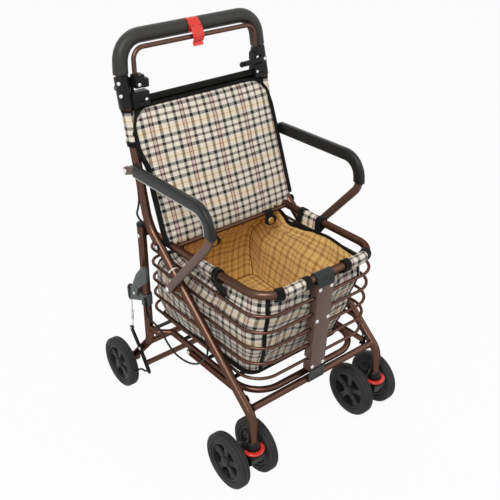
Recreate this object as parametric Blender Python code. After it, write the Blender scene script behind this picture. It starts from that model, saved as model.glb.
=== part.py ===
"""A folding shopping walker with twin castors, a wire basket, a seat flap and a squeeze brake.

Metres, +Z up. The front faces -Y, so the rider pushes from +Y towards -Y. "left" is the -X side.
The main frame stands on the castors. The basket, the rear legs and the rear wheels turn
about one cross axis on the main tubes when the walker folds.
"""

import math

import bmesh
import bpy
from mathutils import Matrix, Vector

# Gaps
TOUCH = 0.0003
RUNNING = 0.0006
WELD_SINK = 0.004

# Wheels
WHEEL_RADIUS = 0.070
TYRE_WIDTH = 0.027
TYRE_DEPTH = 0.019
HUB_WIDTH = 0.021
HUB_RIM = 0.0055
HUB_WEB = 0.008
HUB_BOSS_RADIUS = 0.0125
HUB_CAP = 0.006
SHOULDER = 0.006
GROOVE = 0.0018
SPOKES = 5
SPOKE_ROOT = 0.012
SPOKE_TIP = 0.017
AXLE_RADIUS = 0.005
WHEEL_SIDES = 20
SMALL_SIDES = 10

# Castors
CASTOR_X = 0.2015
STEM_Y = -0.2767
CASTOR_TRAIL = 0.0386
TWIN_OFFSET = 0.042
STEM_BOTTOM = 0.127
FORK_WIDTH = 0.044
COLLAR_RADIUS = 0.0165
COLLAR_DEPTH = 0.016
LOCK_THICKNESS = 0.006
LOCK_INNER = 0.0178
LOCK_OUTER = 0.0245
LOCK_LIP = 0.002
LOCK_STEPS = 10
NECK_RADIUS = 0.0165
NECK_DEPTH = 0.0075

# Main tubes
TUBE_RADIUS = 0.011
FRONT_BEND_Z = 0.198
WAIST_X = 0.2005
WAIST_Y = 0.1137
WAIST_Z = 0.528
WAIST_BEND = 0.110
FRONT_BEND = 0.045
EAR_HALF = 0.0085
EAR_THICK = 0.009
PIVOT_WASHER = 0.0042
PIVOT_WASHER_RADIUS = 0.0095
PIVOT_HEAD_RADIUS = 0.0055
CROSS_RADIUS = 0.0085
CROSS_Y = -0.2605
CROSS_Z = 0.2118
TUBE_SIDES = 12
BOLT_SIDES = 8
WIRE_SIDES = 6
BEND_ERROR = 0.0011
BEND_STEP_MOST = math.radians(45)

# Posts and handle: the posts lean back at a constant slope up to the handle's shoulder
HANDLE_TOP = 0.9486
POST_X = 0.197
POST_TOP = HANDLE_TOP - 0.0796
POST_CUT = POST_TOP - 0.031
POST_SLOPE = 0.23519
POST_Y = WAIST_Y + POST_SLOPE * (POST_TOP - WAIST_Z)
SHOULDER_BEND = 0.03
HANDLE_X = 0.190
HANDLE_Y = POST_Y + 0.0065
HANDLE_BEND = 0.055
FOAM_RADIUS = 0.0175
FOAM_SPLIT = 0.029
FOAM_START = POST_TOP + 0.001
BRAKE_RADIUS = 0.0055
BRAKE_X = 0.1735
BRAKE_Y = POST_Y - 0.0219
BRAKE_FOOT = POST_TOP - 0.013
BRAKE_TOP = HANDLE_TOP - 0.0199
BRAKE_TOP_X = 0.1713
BRAKE_TOP_Y = BRAKE_Y + 0.005
BRAKE_BEND = 0.027
CLIP_WIDTH = 0.0275
CLIP_WALL = 0.0028

# Handle brackets
SLEEVE_LOW = POST_TOP - 0.072
SLEEVE_HIGH = POST_TOP - 0.001
SLEEVE_WIDE = 0.030
SLEEVE_DEEP = 0.032
SOCKET_LOW = POST_TOP - 0.0265
SOCKET_HIGH = POST_TOP + 0.003
SOCKET_STEP = 0.72
SOCKET_LEDGE = 0.010
SOCKET_REACH = {"left": 0.037, "right": 0.021}
SOCKET_DEEP = 0.024
SOCKET_GAP = 0.0025
GUIDE_GAP = 0.0016
GUIDE_REACH = 0.012
GUIDE_THICK = 0.004
GUIDE_LIFT = 0.006
BRACKET_SINK = 0.0035
STOP_LOW = POST_TOP - 0.066
STOP_HIGH = POST_TOP - 0.0355
LOWER_HEAD_Z = SLEEVE_LOW + 0.0315
UPPER_HEAD_Z = SLEEVE_HIGH - 0.0125
HEAD_RADIUS = 0.0042
SMALL_HEAD_RADIUS = 0.0036
LOW_HEAD_HEIGHT = 0.0011
LEVER_LENGTH = 0.070
LEVER_HEIGHT = 0.012
LEVER_THICKNESS = 0.005
LEVER_Z = POST_TOP - 0.023
LEVER_EYE = 0.0028
LEVER_GAP = 0.0018

# Back band between the posts
BAND_Z = POST_TOP - 0.056
BAND_DEPTH = 0.012
BAND_RADIUS = 0.0075
BAND_CLOTH = 0.0015

# Armrests
ARM_X = 0.2195
ARM_THICK = 0.011
ARM_WIDE = 0.020
ARM_REAR_Y = 0.162
ARM_REAR_Z = 0.657
ARM_CREST_Y = 0.134
ARM_CREST_Z = 0.667
ARM_TOP_Z = 0.671
ARM_FRONT_Y = -0.152
ARM_KNEE_Y = -0.160
ARM_KNEE_Z = 0.602
ARM_FOOT_Y = 0.011
ARM_FOOT_Z = 0.408
ARM_BEND = 0.046
ARM_CREST_BEND = 0.06
ARM_END = 0.007
BAND_SLEEVE_LOW = ARM_REAR_Z + (SLEEVE_LOW - ARM_REAR_Z) * 0.35
BAND_SLEEVE_HIGH = SLEEVE_LOW - 0.002
GRIP_THICK = 0.017
GRIP_WIDE = 0.030
GRIP_START_Y = 0.126
GRIP_END_Z = 0.612
BOLT_RADIUS = 0.0055

# Fold axis and rear frame
FOLD_Y = 0.067
FOLD_Z = 0.491
LEG_X = 0.202
LEG_Y = 0.1455
LEG_TOP = 0.519
LEG_BEND_Z = 0.176
LEG_BEND = 0.045
LEG_BOSS_HALF = 0.0125
LEG_BOSS_RADIUS = 0.0135
LEG_CAP_RADIUS = 0.0119
LEG_CAP_TOP_RADIUS = 0.009
AXLE_COLLAR_RADIUS = 0.008
REAR_AXLE_Y = 0.2381
REAR_WHEEL_X = 0.2408
LEG_BAR_Z = 0.172
LEG_BAR_RADIUS = 0.008

# Basket
RIM_RADIUS = 0.0095
RIM_FRONT_X = 0.1709
RIM_REAR_X = 0.1775
RIM_FRONT_Y = -0.2742
RIM_FRONT_Z = 0.4974
RIM_REAR_Z = 0.489
RIM_BEND = 0.062
WIRE_COUNT = 5
WIRE_RADIUS = 0.00375
WIRE_TOP_Z = 0.449
WIRE_PITCH = 0.044
WIRE_X = 0.183
WIRE_TOP_Y = -0.277
WIRE_LOW_Y = -0.262
WIRE_REAR_Y = 0.150
WIRE_BEND = 0.062
WIRE_REAR_BEND = 0.035
RAIL_RADIUS = 0.008
RAIL_X = 0.1709
RAIL_Y = -0.245
RAIL_Z = 0.221
RAIL_BEND = 0.072
SLAT_YS = (0.127, 0.040, -0.060, -0.157)
SLAT_WIDE = 0.012
SLAT_THICK = 0.003
HINGE_BAR_Y = 0.045
HINGE_BAR_RADIUS = 0.005

# Front plate
PLATE_X = -0.004
PLATE_WIDE = 0.048
PLATE_DEEP = 0.023
PLATE_WALL = 0.0018
PLATE_TOP = 0.484
PLATE_BOTTOM = 0.241
PLATE_TOP_Y = -0.2895
PLATE_BOTTOM_Y = -0.2735

# Seat flap
FLAP_Y = 0.046
FLAP_Z = 0.4975
FLAP_LEAN = math.radians(20.6)
FLAP_START = 0.0095
FLAP_TOP_GAP = 0.01783
FLAP_LENGTH = (BAND_Z - FLAP_TOP_GAP - FLAP_Z) / math.cos(FLAP_LEAN) - FLAP_START
FLAP_HALF_LOW = 0.1835
FLAP_HALF_HIGH = 0.1800
FLAP_CORNER = 0.042
FLAP_SEAT = -0.0045
FLAP_THICK = 0.017
FLAP_CROWN = 0.004
KNUCKLE_RADIUS = 0.0032
KNUCKLE_BORE = 0.0018
KNUCKLE_INNER = 0.138
KNUCKLE_OUTER = 0.162
LUG_THICK = 0.0042
PIN_REACH = 0.008

# Bag
BAG_WALL = 0.002
BAG_TOP_CORNER = 0.058
BAG_BOTTOM_CORNER = 0.030
BAG_CORNER_STEPS = 3
BAG_TOP_Z = 0.4965
BAG_BOTTOM_Z = 0.262
BAG_TOP_X = 0.1595
BAG_BOTTOM_X = 0.156
BAG_TOP_FRONT = -0.2595
BAG_BOTTOM_FRONT = -0.214
BAG_TOP_REAR = 0.033
BAG_BOTTOM_REAR = 0.112
LOOP_CLOTH = 0.0014
LOOP_WEB = 0.003
SIDE_LOOPS = ((-1, -0.055, -0.119), (1, -0.023, -0.081))
FRONT_LOOPS = ((-0.105, -0.052), (0.076, 0.105))

# Brake at the rear wheels
ARM_PIVOT_Y = 0.1715
ARM_PIVOT_Z = 0.141
YOKE_X = 0.2185
YOKE_THICK = 0.0045
YOKE_TOP_Y = 0.2085
YOKE_TOP_Z = 0.188
YOKE_BOTTOM_Y = 0.1365
YOKE_BOTTOM_Z = 0.087
YOKE_BAR_Y = 0.1455
YOKE_BAR_Z = 0.108
SHOE_Y = 0.1585
SHOE_Z = 0.087
SHOE_RADIUS = 0.0025

# Parking lever and its bracket on the left leg
PARK_Z = 0.306
PARK_PIVOT_Y = 0.172
PARK_PIVOT_Z = 0.322
KNOB_Y = 0.2245
KNOB_Z = 0.289
KNOB_DROP = 0.019
ROD_RADIUS = 0.0016

# Side stays and catches
STAY_X = 0.1845
STAY_THICK = 0.003
STAY_WIDE = 0.016
STAY_REAR_Y = -0.007
STAY_FRONT_Y = -0.236
CATCH_Z = 0.2285
CATCH_WALL = 0.0018
CATCH_WIDE = 0.013
CATCH_LIP = 0.0045
CABLE_RADIUS = 0.0025
FERRULE_RADIUS = 0.004
FERRULE_LENGTH = 0.022

SIDE_NAMES = ("left", "right")
SIDES = {name: math.copysign(1.0, place - 0.5) for place, name in enumerate(SIDE_NAMES)}


def clear_scene():
    """Removes whatever the scene holds at the start."""
    for item in list(bpy.data.objects):
        bpy.data.objects.remove(item, do_unlink=True)


def make_material(name, colour, roughness, metallic=0.0):
    """A Principled material of one colour."""
    made = bpy.data.materials.new(name)
    made.use_nodes = True
    shader = made.node_tree.nodes["Principled BSDF"]
    shader.inputs["Base Color"].default_value = (*colour, 1.0)
    shader.inputs["Roughness"].default_value = roughness
    shader.inputs["Metallic"].default_value = metallic
    made.diffuse_color = (*colour, 1.0)
    return made


def make_materials():
    """Every finish on the walker, by name."""
    return {
        "brown_paint": make_material("brown_paint", (0.105, 0.045, 0.030), 0.35, 0.6),
        "foam": make_material("foam", (0.055, 0.053, 0.050), 0.75),
        "black_plastic": make_material("black_plastic", (0.022, 0.022, 0.022), 0.45),
        "grey_plastic": make_material("grey_plastic", (0.11, 0.12, 0.11), 0.5),
        "red_plastic": make_material("red_plastic", (0.74, 0.035, 0.025), 0.4),
        "zinc": make_material("zinc", (0.72, 0.72, 0.70), 0.3, 1.0),
        "tyre": make_material("tyre", (0.05, 0.05, 0.048), 0.8),
        "hub": make_material("hub", (0.045, 0.045, 0.043), 0.55),
        "plaid": make_material("plaid", (0.80, 0.74, 0.60), 0.85),
        "black_cloth": make_material("black_cloth", (0.02, 0.02, 0.02), 0.8),
    }


def add_object(name, mesh, material):
    """Puts a mesh into the scene as a named object."""
    item = bpy.data.objects.new(name, mesh)
    bpy.context.scene.collection.objects.link(item)
    mesh.materials.append(material)
    return item


def finish_bmesh(name, shape, material, smooth=True):
    """Turns a bmesh into an object whose faces point out."""
    bmesh.ops.recalc_face_normals(shape, faces=shape.faces)
    mesh = bpy.data.meshes.new(name)
    shape.to_mesh(mesh)
    shape.free()
    if smooth:
        mesh.shade_smooth()
        mesh.set_sharp_from_angle(angle=math.radians(40))
    return add_object(name, mesh, material)


def boolean(target, tool, operation):
    """Joins or cuts a mesh by another one, applies it and deletes the tool."""
    step = target.modifiers.new("shape", "BOOLEAN")
    step.operation = operation
    step.solver = "EXACT"
    step.material_mode = "TRANSFER"
    step.object = tool
    graph = bpy.context.evaluated_depsgraph_get()
    result = bpy.data.meshes.new_from_object(target.evaluated_get(graph))
    target.modifiers.clear()
    result.name = target.name
    target.data = result
    bpy.data.objects.remove(tool, do_unlink=True)
    return target


def join(target, *tools):
    """Welds the tools to the target as one solid."""
    for tool in tools:
        boolean(target, tool, "UNION")
    return target


def cut(target, *tools):
    """Takes the tools out of the target."""
    for tool in tools:
        boolean(target, tool, "DIFFERENCE")
    return target


def rounded(corners, closed=False):
    """A path through corners (point, bend radius), each corner replaced by an arc."""
    points = []
    count = len(corners)
    for index, (corner, radius) in enumerate(corners):
        here = Vector(corner)
        at_end = not closed and index in (0, count - 1)
        if at_end or radius == 0:
            points.append(here)
            continue
        before = (Vector(corners[index - 1][0]) - here).normalized()
        after = (Vector(corners[(index + 1) % count][0]) - here).normalized()
        opening = before.angle(after)
        turn = math.pi - opening
        reach = radius / math.tan(opening / 2)
        centre = here + (before + after).normalized() * radius / math.sin(opening / 2)
        axis = before.cross(after).normalized()
        first = here + before * reach - centre
        fine = 2 * math.acos(1 - BEND_ERROR / radius) if radius > BEND_ERROR else BEND_STEP_MOST
        steps = max(1, math.ceil(turn / min(fine, BEND_STEP_MOST)))
        for step in range(steps + 1):
            turned = Matrix.Rotation(-turn * step / steps, 3, axis) @ first
            points.append(centre + turned)
    return points


def crossing(path, axis, value):
    """Where a path first meets a plane: the index of the next point, and the meeting point."""
    for index in range(1, len(path)):
        before, after = path[index - 1], path[index]
        if (before[axis] - value) * (after[axis] - value) <= 0 and before[axis] != after[axis]:
            share = (value - before[axis]) / (after[axis] - before[axis])
            return index, before.lerp(after, share)
    raise ValueError("the path does not meet the plane")


def stretch(path, first, last):
    """The stretch of a path between two planes, each given as an axis and a value."""
    start_index, start = crossing(path, *first)
    end_index, end = crossing(path, *last)
    return [start] + path[start_index:end_index] + [end]


def circle(radius, sides):
    """A round section."""
    angles = [2 * math.pi * step / sides for step in range(sides)]
    return [(radius * math.cos(angle), radius * math.sin(angle)) for angle in angles]


def soft_box(half_a, half_b, sides, power=0.35):
    """A section with flat sides and round corners."""
    points = []
    for step in range(sides):
        angle = 2 * math.pi * (step + 0.5) / sides
        across = math.copysign(abs(math.cos(angle)) ** power, math.cos(angle))
        along = math.copysign(abs(math.sin(angle)) ** power, math.sin(angle))
        points.append((half_a * across, half_b * along))
    return points


def add_rings(shape, path, section, normal, closed):
    """Rings of vertices along a path, each square to it."""
    rings = []
    count = len(path)
    for index, point in enumerate(path):
        before = path[index - 1] if index or closed else point
        after = path[(index + 1) % count] if index < count - 1 or closed else point
        tangent = (point - before).normalized() + (after - point).normalized()
        tangent.normalize()
        first = (normal - tangent * normal.dot(tangent)).normalized()
        second = tangent.cross(first)
        rings.append([shape.verts.new(point + first * a + second * b) for a, b in section])
    return rings


def bridge(shape, one, two):
    """A band of faces between two rings of equal count."""
    count = len(one)
    for step in range(count):
        following = (step + 1) % count
        shape.faces.new((one[step], one[following], two[following], two[step]))


def sweep(name, path, section, normal, material, hollow=None, closed=False):
    """A section swept along a path: a rod, a tube open at both ends, or a closed loop."""
    shape = bmesh.new()
    normal = Vector(normal)
    outer = add_rings(shape, path, section, normal, closed)
    pairs = list(zip(outer, outer[1:]))
    if closed:
        pairs.append((outer[-1], outer[0]))
    for one, two in pairs:
        bridge(shape, one, two)
    if hollow:
        inner = add_rings(shape, path, hollow, normal, closed)
        for one, two in zip(inner, inner[1:]):
            bridge(shape, one, two)
        bridge(shape, outer[0], inner[0])
        bridge(shape, outer[-1], inner[-1])
    elif not closed:
        shape.faces.new(outer[0])
        shape.faces.new(outer[-1])
    return finish_bmesh(name, shape, material)


def rod(name, start, end, radius, material, sides=BOLT_SIDES):
    """A straight round bar."""
    start, end = Vector(start), Vector(end)
    along = (end - start).normalized()
    normal = Vector((0, 0, 1)) if abs(along.z) < 0.9 else Vector((1, 0, 0))
    return sweep(name, [start, end], circle(radius, sides), normal, material)


def turned(name, profile, centre, axis, sides, material):
    """A profile of (along, radius) turned about an axis; a closed loop of it makes a ring."""
    shape = bmesh.new()
    centre, axis = Vector(centre), Vector(axis).normalized()
    helper = Vector((0, 0, 1)) if abs(axis.z) < 0.9 else Vector((1, 0, 0))
    first = helper.cross(axis).normalized()
    second = axis.cross(first)
    solid = profile[0][1] == 0
    rings = []
    for along, radius in profile:
        middle = centre + axis * along
        if radius == 0:
            rings.append([shape.verts.new(middle)])
            continue
        ring = []
        for step in range(sides):
            angle = 2 * math.pi * (step + 0.5) / sides
            out = first * math.cos(angle) + second * math.sin(angle)
            ring.append(shape.verts.new(middle + out * radius))
        rings.append(ring)
    pairs = list(zip(rings, rings[1:]))
    if not solid:
        pairs.append((rings[-1], rings[0]))
    for one, two in pairs:
        if len(one) == len(two):
            bridge(shape, one, two)
            continue
        pole, ring = (one[0], two) if len(one) == 1 else (two[0], one)
        for step in range(sides):
            shape.faces.new((ring[step], ring[(step + 1) % sides], pole))
    return finish_bmesh(name, shape, material)


def dome_head(name, centre, axis, radius, height, material, sides=BOLT_SIDES):
    """A rivet or bolt head that starts below the surface that it sits on."""
    profile = [(-0.0008, 0), (-0.0008, radius), (height * 0.5, radius * 0.9), (height, radius * 0.45)]
    profile.append((height, 0))
    return turned(name, profile, centre, axis, sides, material)


def block(name, low, high, material, bevel=0.0):
    """A box between two corners, with its edges rounded."""
    low, high = Vector(low), Vector(high)
    shape = bmesh.new()
    bmesh.ops.create_cube(shape, size=1.0)
    size = high - low
    bmesh.ops.scale(shape, vec=size, verts=shape.verts)
    bmesh.ops.translate(shape, vec=(low + high) / 2, verts=shape.verts)
    if bevel:
        bmesh.ops.bevel(
            shape, geom=shape.edges[:], offset=bevel, segments=1, affect="EDGES", profile=0.5
        )
    return finish_bmesh(name, shape, material)


def plate(name, outline, origin, across, up, thickness, material):
    """A flat outline (a, b) in the plane of across and up, thickened to both sides."""
    across, up, origin = Vector(across).normalized(), Vector(up).normalized(), Vector(origin)
    out = across.cross(up).normalized()
    shape = bmesh.new()
    near = []
    far = []
    for a, b in outline:
        middle = origin + across * a + up * b
        near.append(shape.verts.new(middle - out * thickness / 2))
        far.append(shape.verts.new(middle + out * thickness / 2))
    shape.faces.new(near)
    shape.faces.new(far)
    bridge(shape, near, far)
    return finish_bmesh(name, shape, material)


def slot_outline(start, end, half_width, steps=5):
    """The outline of a bar with round ends between two points of a plane."""
    start, end = Vector(start), Vector(end)
    heading = math.atan2(end.y - start.y, end.x - start.x)
    points = []
    for middle, turn in ((end, -math.pi / 2), (start, math.pi / 2)):
        for step in range(steps + 1):
            angle = heading + turn + math.pi * step / steps
            points.append((middle.x + half_width * math.cos(angle), middle.y + half_width * math.sin(angle)))
    return points


def post_point(side, z):
    """A point on the axis of a post above the waist."""
    share = (z - WAIST_Z) / (POST_TOP - WAIST_Z)
    x = WAIST_X + (POST_X - WAIST_X) * share
    return Vector((side * x, WAIST_Y + (POST_Y - WAIST_Y) * share, z))


def slope_point(side, z):
    """A point on the axis of a main tube below the waist."""
    share = (z - FRONT_BEND_Z) / (WAIST_Z - FRONT_BEND_Z)
    x = CASTOR_X + (WAIST_X - CASTOR_X) * share
    return Vector((side * x, STEM_Y + (WAIST_Y - STEM_Y) * share, z))


def rim_z(y):
    """The height of the rim's axis, which rises a little to the front."""
    share = (y - HINGE_BAR_Y) / (RIM_FRONT_Y - HINGE_BAR_Y)
    return RIM_REAR_Z + (RIM_FRONT_Z - RIM_REAR_Z) * max(share, 0)


def rim_x(y):
    """Half the rim's width, which narrows a little to the front."""
    share = (y - HINGE_BAR_Y) / (RIM_FRONT_Y - HINGE_BAR_Y)
    return RIM_REAR_X + (RIM_FRONT_X - RIM_REAR_X) * max(share, 0)


def wire_z(index):
    """The height of one basket wire, counted from the top."""
    return WIRE_TOP_Z - WIRE_PITCH * index


def wire_front(index):
    """How far forward one basket wire reaches."""
    return WIRE_TOP_Y + (WIRE_LOW_Y - WIRE_TOP_Y) * index / (WIRE_COUNT - 1)


def plate_front(z):
    """The front face of the leaning front plate."""
    share = (PLATE_TOP - z) / (PLATE_TOP - PLATE_BOTTOM)
    return PLATE_TOP_Y + (PLATE_BOTTOM_Y - PLATE_TOP_Y) * share


def build_main_frame(paint):
    """Both bent main tubes, welded to the front cross tube, with the armrest ears."""
    frame = None
    for side in SIDES.values():
        stem = Vector((side * CASTOR_X, STEM_Y, STEM_BOTTOM))
        corners = [
            (stem, 0),
            ((side * CASTOR_X, STEM_Y, FRONT_BEND_Z), FRONT_BEND),
            ((side * WAIST_X, WAIST_Y, WAIST_Z), WAIST_BEND),
            (post_point(side, POST_CUT), 0),
        ]
        section = circle(TUBE_RADIUS, TUBE_SIDES)
        tube = sweep("main_frame", rounded(corners), section, (1, 0, 0), paint["brown_paint"])
        tube = join(tube, *armrest_ears(side, paint), *pivot_head(side, paint))
        frame = join(frame, tube) if frame else tube
    reach = CASTOR_X - TUBE_RADIUS + WELD_SINK
    cross = rod(
        "cross", (-reach, CROSS_Y, CROSS_Z), (reach, CROSS_Y, CROSS_Z), CROSS_RADIUS, paint["brown_paint"]
    )
    frame = join(frame, cross)
    frame.name = "main_frame"
    return frame


def armrest_ears(side, paint):
    """Two short flat ears behind a main tube that the armrest is bolted to."""
    inner = side * (ARM_X - ARM_THICK / 2 - TOUCH)
    ears = []
    upper_root = post_point(side, ARM_REAR_Z)
    lower_root = slope_point(side, ARM_FOOT_Z + 0.010)
    for root, bolt_y, bolt_z in (
        (upper_root, ARM_REAR_Y, ARM_REAR_Z),
        (lower_root, ARM_FOOT_Y, ARM_FOOT_Z),
    ):
        start = (root.y, root.z)
        outline = slot_outline(start, (bolt_y, bolt_z), EAR_HALF)
        middle = inner - side * EAR_THICK / 2
        ears.append(
            plate("ear", outline, (middle, 0, 0), (0, 1, 0), (0, 0, 1), EAR_THICK, paint["brown_paint"])
        )
    return ears


def pivot_head(side, paint):
    """The rivet head and washer of the fold axis on the outer side of a main tube."""
    outer = slope_point(side, FOLD_Z).x + side * (TUBE_RADIUS - 0.003)
    wide, high = PIVOT_WASHER_RADIUS, PIVOT_WASHER
    washer_profile = [(0, 0), (0, wide), (high, wide), (high, 0)]
    spot = (outer, FOLD_Y, FOLD_Z)
    washer = turned("washer", washer_profile, spot, (side, 0, 0), 12, paint["black_plastic"])
    top = (outer + side * high, FOLD_Y, FOLD_Z)
    head = dome_head("head", top, (side, 0, 0), PIVOT_HEAD_RADIUS, 0.0028, paint["zinc"])
    return [join(washer, head)]


def build_handle(paint):
    """The U of the handle with its two foam grips, split in the middle."""
    left_foot = post_point(-1, POST_CUT + TOUCH)
    right_foot = post_point(1, POST_CUT + TOUCH)
    shoulder_left = post_point(-1, POST_TOP)
    shoulder_right = post_point(1, POST_TOP)
    corners = [
        (left_foot, 0),
        (shoulder_left, SHOULDER_BEND),
        ((-HANDLE_X, HANDLE_Y, HANDLE_TOP), HANDLE_BEND),
        ((HANDLE_X, HANDLE_Y, HANDLE_TOP), HANDLE_BEND),
        (shoulder_right, SHOULDER_BEND),
        (right_foot, 0),
    ]
    path = rounded(corners)
    sweep("handle_tube", path, circle(TUBE_RADIUS, TUBE_SIDES), (0, 1, 0), paint["brown_paint"])
    half = stretch(path, (2, FOAM_START), (0, -FOAM_SPLIT / 2))
    for label, side in SIDES.items():
        run = [Vector((side * abs(point.x), point.y, point.z)) for point in half]
        sweep(
            f"foam_grip_{label}",
            run,
            circle(FOAM_RADIUS, TUBE_SIDES),
            (0, 1, 0),
            paint["foam"],
            hollow=circle(TUBE_RADIUS + TOUCH, TUBE_SIDES),
        )


def build_bracket(label, side, paint):
    """The black clamp over the joint of post and handle, with its stop block and rivets."""
    low = post_point(side, SLEEVE_LOW)
    high = post_point(side, SLEEVE_HIGH)
    path = [low, high]
    sleeve = sweep(
        f"handle_bracket_{label}",
        path,
        soft_box(SLEEVE_WIDE / 2, SLEEVE_DEEP / 2, TUBE_SIDES, 0.5),
        (1, 0, 0),
        paint["black_plastic"],
        hollow=circle(TUBE_RADIUS + 2 * TOUCH, TUBE_SIDES),
    )
    wall = side * (POST_X - SLEEVE_WIDE / 2)
    tip = wall - side * SOCKET_REACH[label]
    sunk = wall + side * BRACKET_SINK
    stop = block(
        "stop",
        (min(tip, sunk), BRAKE_Y - SOCKET_DEEP / 2, STOP_LOW),
        (max(tip, sunk), BRAKE_Y + SOCKET_DEEP / 2, STOP_HIGH),
        paint["black_plastic"],
        0.0015,
    )
    guide_low = BRAKE_Y + SOCKET_DEEP / 2 + GUIDE_GAP
    guide_tip = wall - side * GUIDE_REACH
    guide = block(
        "guide",
        (min(guide_tip, sunk), guide_low, STOP_LOW + GUIDE_LIFT),
        (max(guide_tip, sunk), guide_low + GUIDE_THICK, SLEEVE_HIGH - 0.004),
        paint["black_plastic"],
        0.0008,
    )
    footing = block(
        "footing",
        (min(guide_tip, sunk), guide_low - GUIDE_GAP - 0.003, STOP_LOW + GUIDE_LIFT),
        (max(guide_tip, sunk), guide_low + 0.003, STOP_HIGH - 0.004),
        paint["black_plastic"],
    )
    mouth = (tip - side * TOUCH * 4, BRAKE_Y, BAND_Z)
    bottom = (band_end(label) + side * TOUCH, BRAKE_Y, BAND_Z)
    bore = rod("bore", mouth, bottom, BAND_RADIUS + TOUCH, paint["black_plastic"], TUBE_SIDES)
    stop = cut(stop, bore)
    sleeve = join(sleeve, stop, guide, footing)
    heads = []
    for z in (LOWER_HEAD_Z, UPPER_HEAD_Z):
        spot = post_point(side, z)
        spot.x = side * (abs(spot.x) + SLEEVE_WIDE / 2)
        heads.append(dome_head("head", spot, (side, 0, 0), HEAD_RADIUS, 0.0018, paint["zinc"]))
    front = (tip + side * 0.009, BRAKE_Y - SOCKET_DEEP / 2, STOP_LOW + 0.0115)
    heads.append(dome_head("head", front, (0, -1, 0), SMALL_HEAD_RADIUS, LOW_HEAD_HEIGHT, paint["zinc"]))
    bump_at = post_point(side, SLEEVE_LOW + 0.0465) + Vector((side * SLEEVE_WIDE / 2, 0.0085, 0))
    heads.append(dome_head("head", bump_at, (side, 0, 0), 0.0045, 0.0026, paint["black_plastic"]))
    sleeve = join(sleeve, *heads)
    if label == "left":
        first = Vector(CABLE_POINTS[0])
        along = (first - Vector(CABLE_POINTS[1])).normalized()
        gland = [first + along * TOUCH, first + along * FERRULE_LENGTH]
        sleeve = join(sleeve, rod("gland", *gland, FERRULE_RADIUS, paint["black_plastic"]))
    if label == "right":
        boss_x = lever_pivot_x()
        boss = rod(
            "boss",
            (boss_x, lever_back() + TOUCH, LEVER_Z),
            (boss_x, post_point(side, LEVER_Z).y - SLEEVE_DEEP / 2 + 0.004, LEVER_Z),
            0.0045,
            paint["black_plastic"],
        )
        sleeve = join(sleeve, boss)
    sleeve.name = f"handle_bracket_{label}"


def band_end(label):
    """How far out the back band's bar reaches into the block of one bracket."""
    return SIDES[label] * (POST_X - SLEEVE_WIDE / 2 - SOCKET_REACH[label] + BAND_DEPTH)


def lever_pivot_x():
    """Where the release lever turns, in front of the right bracket."""
    return POST_X - SLEEVE_WIDE / 2 + 0.006


def lever_back():
    """The rear face of the release lever, clear of the blocks behind it."""
    return BRAKE_Y - SOCKET_DEEP / 2 - LEVER_GAP


def build_release_lever(paint):
    """The flat lever with an eye at its tip on the right bracket."""
    start = (lever_pivot_x(), LEVER_Z)
    end = (lever_pivot_x() - LEVER_LENGTH, LEVER_Z - 0.003)
    origin = (0, lever_back() - LEVER_THICKNESS / 2, 0)
    outline = slot_outline(start, end, LEVER_HEIGHT / 2, 6)
    lever = plate(
        "release_lever", outline, origin, (1, 0, 0), (0, 0, 1), LEVER_THICKNESS, paint["black_plastic"]
    )
    eye_from = (end[0], origin[1] - LEVER_THICKNESS, end[1])
    eye_to = (end[0], origin[1] + LEVER_THICKNESS, end[1])
    cut(lever, rod("eye", eye_from, eye_to, LEVER_EYE, paint["black_plastic"], 10))
    front = (start[0], origin[1] - LEVER_THICKNESS / 2, start[1])
    join(lever, dome_head("head", front, (0, -1, 0), 0.004, 0.002, paint["zinc"]))
    lever.name = "release_lever"


def build_brake_bar(paint):
    """The squeeze bar in front of the handle and the two sockets on its ends."""
    corners = []
    for side in (-1, 1):
        foot = ((side * BRAKE_X, BRAKE_Y, BRAKE_FOOT), 0)
        top = ((side * BRAKE_TOP_X, BRAKE_TOP_Y, BRAKE_TOP), BRAKE_BEND)
        corners += [foot, top] if side < 0 else [top, foot]
    sweep("brake_bar", rounded(corners), circle(BRAKE_RADIUS, 10), (0, 1, 0), paint["brown_paint"])
    for label, side in SIDES.items():
        wall = POST_X - SLEEVE_WIDE / 2
        outer = side * (wall - SOCKET_GAP)
        tip = side * (wall - SOCKET_REACH[label])
        step = side * (wall - SOCKET_REACH[label] * SOCKET_STEP)
        front, back = BRAKE_Y - SOCKET_DEEP / 2, BRAKE_Y + SOCKET_DEEP / 2
        socket = block(
            f"bar_socket_{label}",
            (min(outer, step), front, SOCKET_LOW),
            (max(outer, step), back, SOCKET_HIGH),
            paint["black_plastic"],
            0.0015,
        )
        ledge = block(
            "ledge",
            (min(tip, step + side * 0.004), front, SOCKET_LOW),
            (max(tip, step + side * 0.004), back, SOCKET_HIGH - SOCKET_LEDGE),
            paint["black_plastic"],
            0.0012,
        )
        socket = join(socket, ledge)
        bore_x = side * BRAKE_X
        lean = Vector((bore_x, BRAKE_Y, BRAKE_FOOT - 0.001))
        top = Vector((side * BRAKE_TOP_X, BRAKE_TOP_Y, BRAKE_TOP))
        bore = rod("bore", lean, lean.lerp(top, 0.45), BRAKE_RADIUS + TOUCH, paint["black_plastic"], 12)
        socket = cut(socket, bore)
        spot = (side * (wall - 0.012), front, SOCKET_LOW + 0.008)
        head = dome_head("head", spot, (0, -1, 0), HEAD_RADIUS, LOW_HEAD_HEIGHT, paint["zinc"])
        socket = join(socket, head)
        socket.name = f"bar_socket_{label}"


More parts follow.
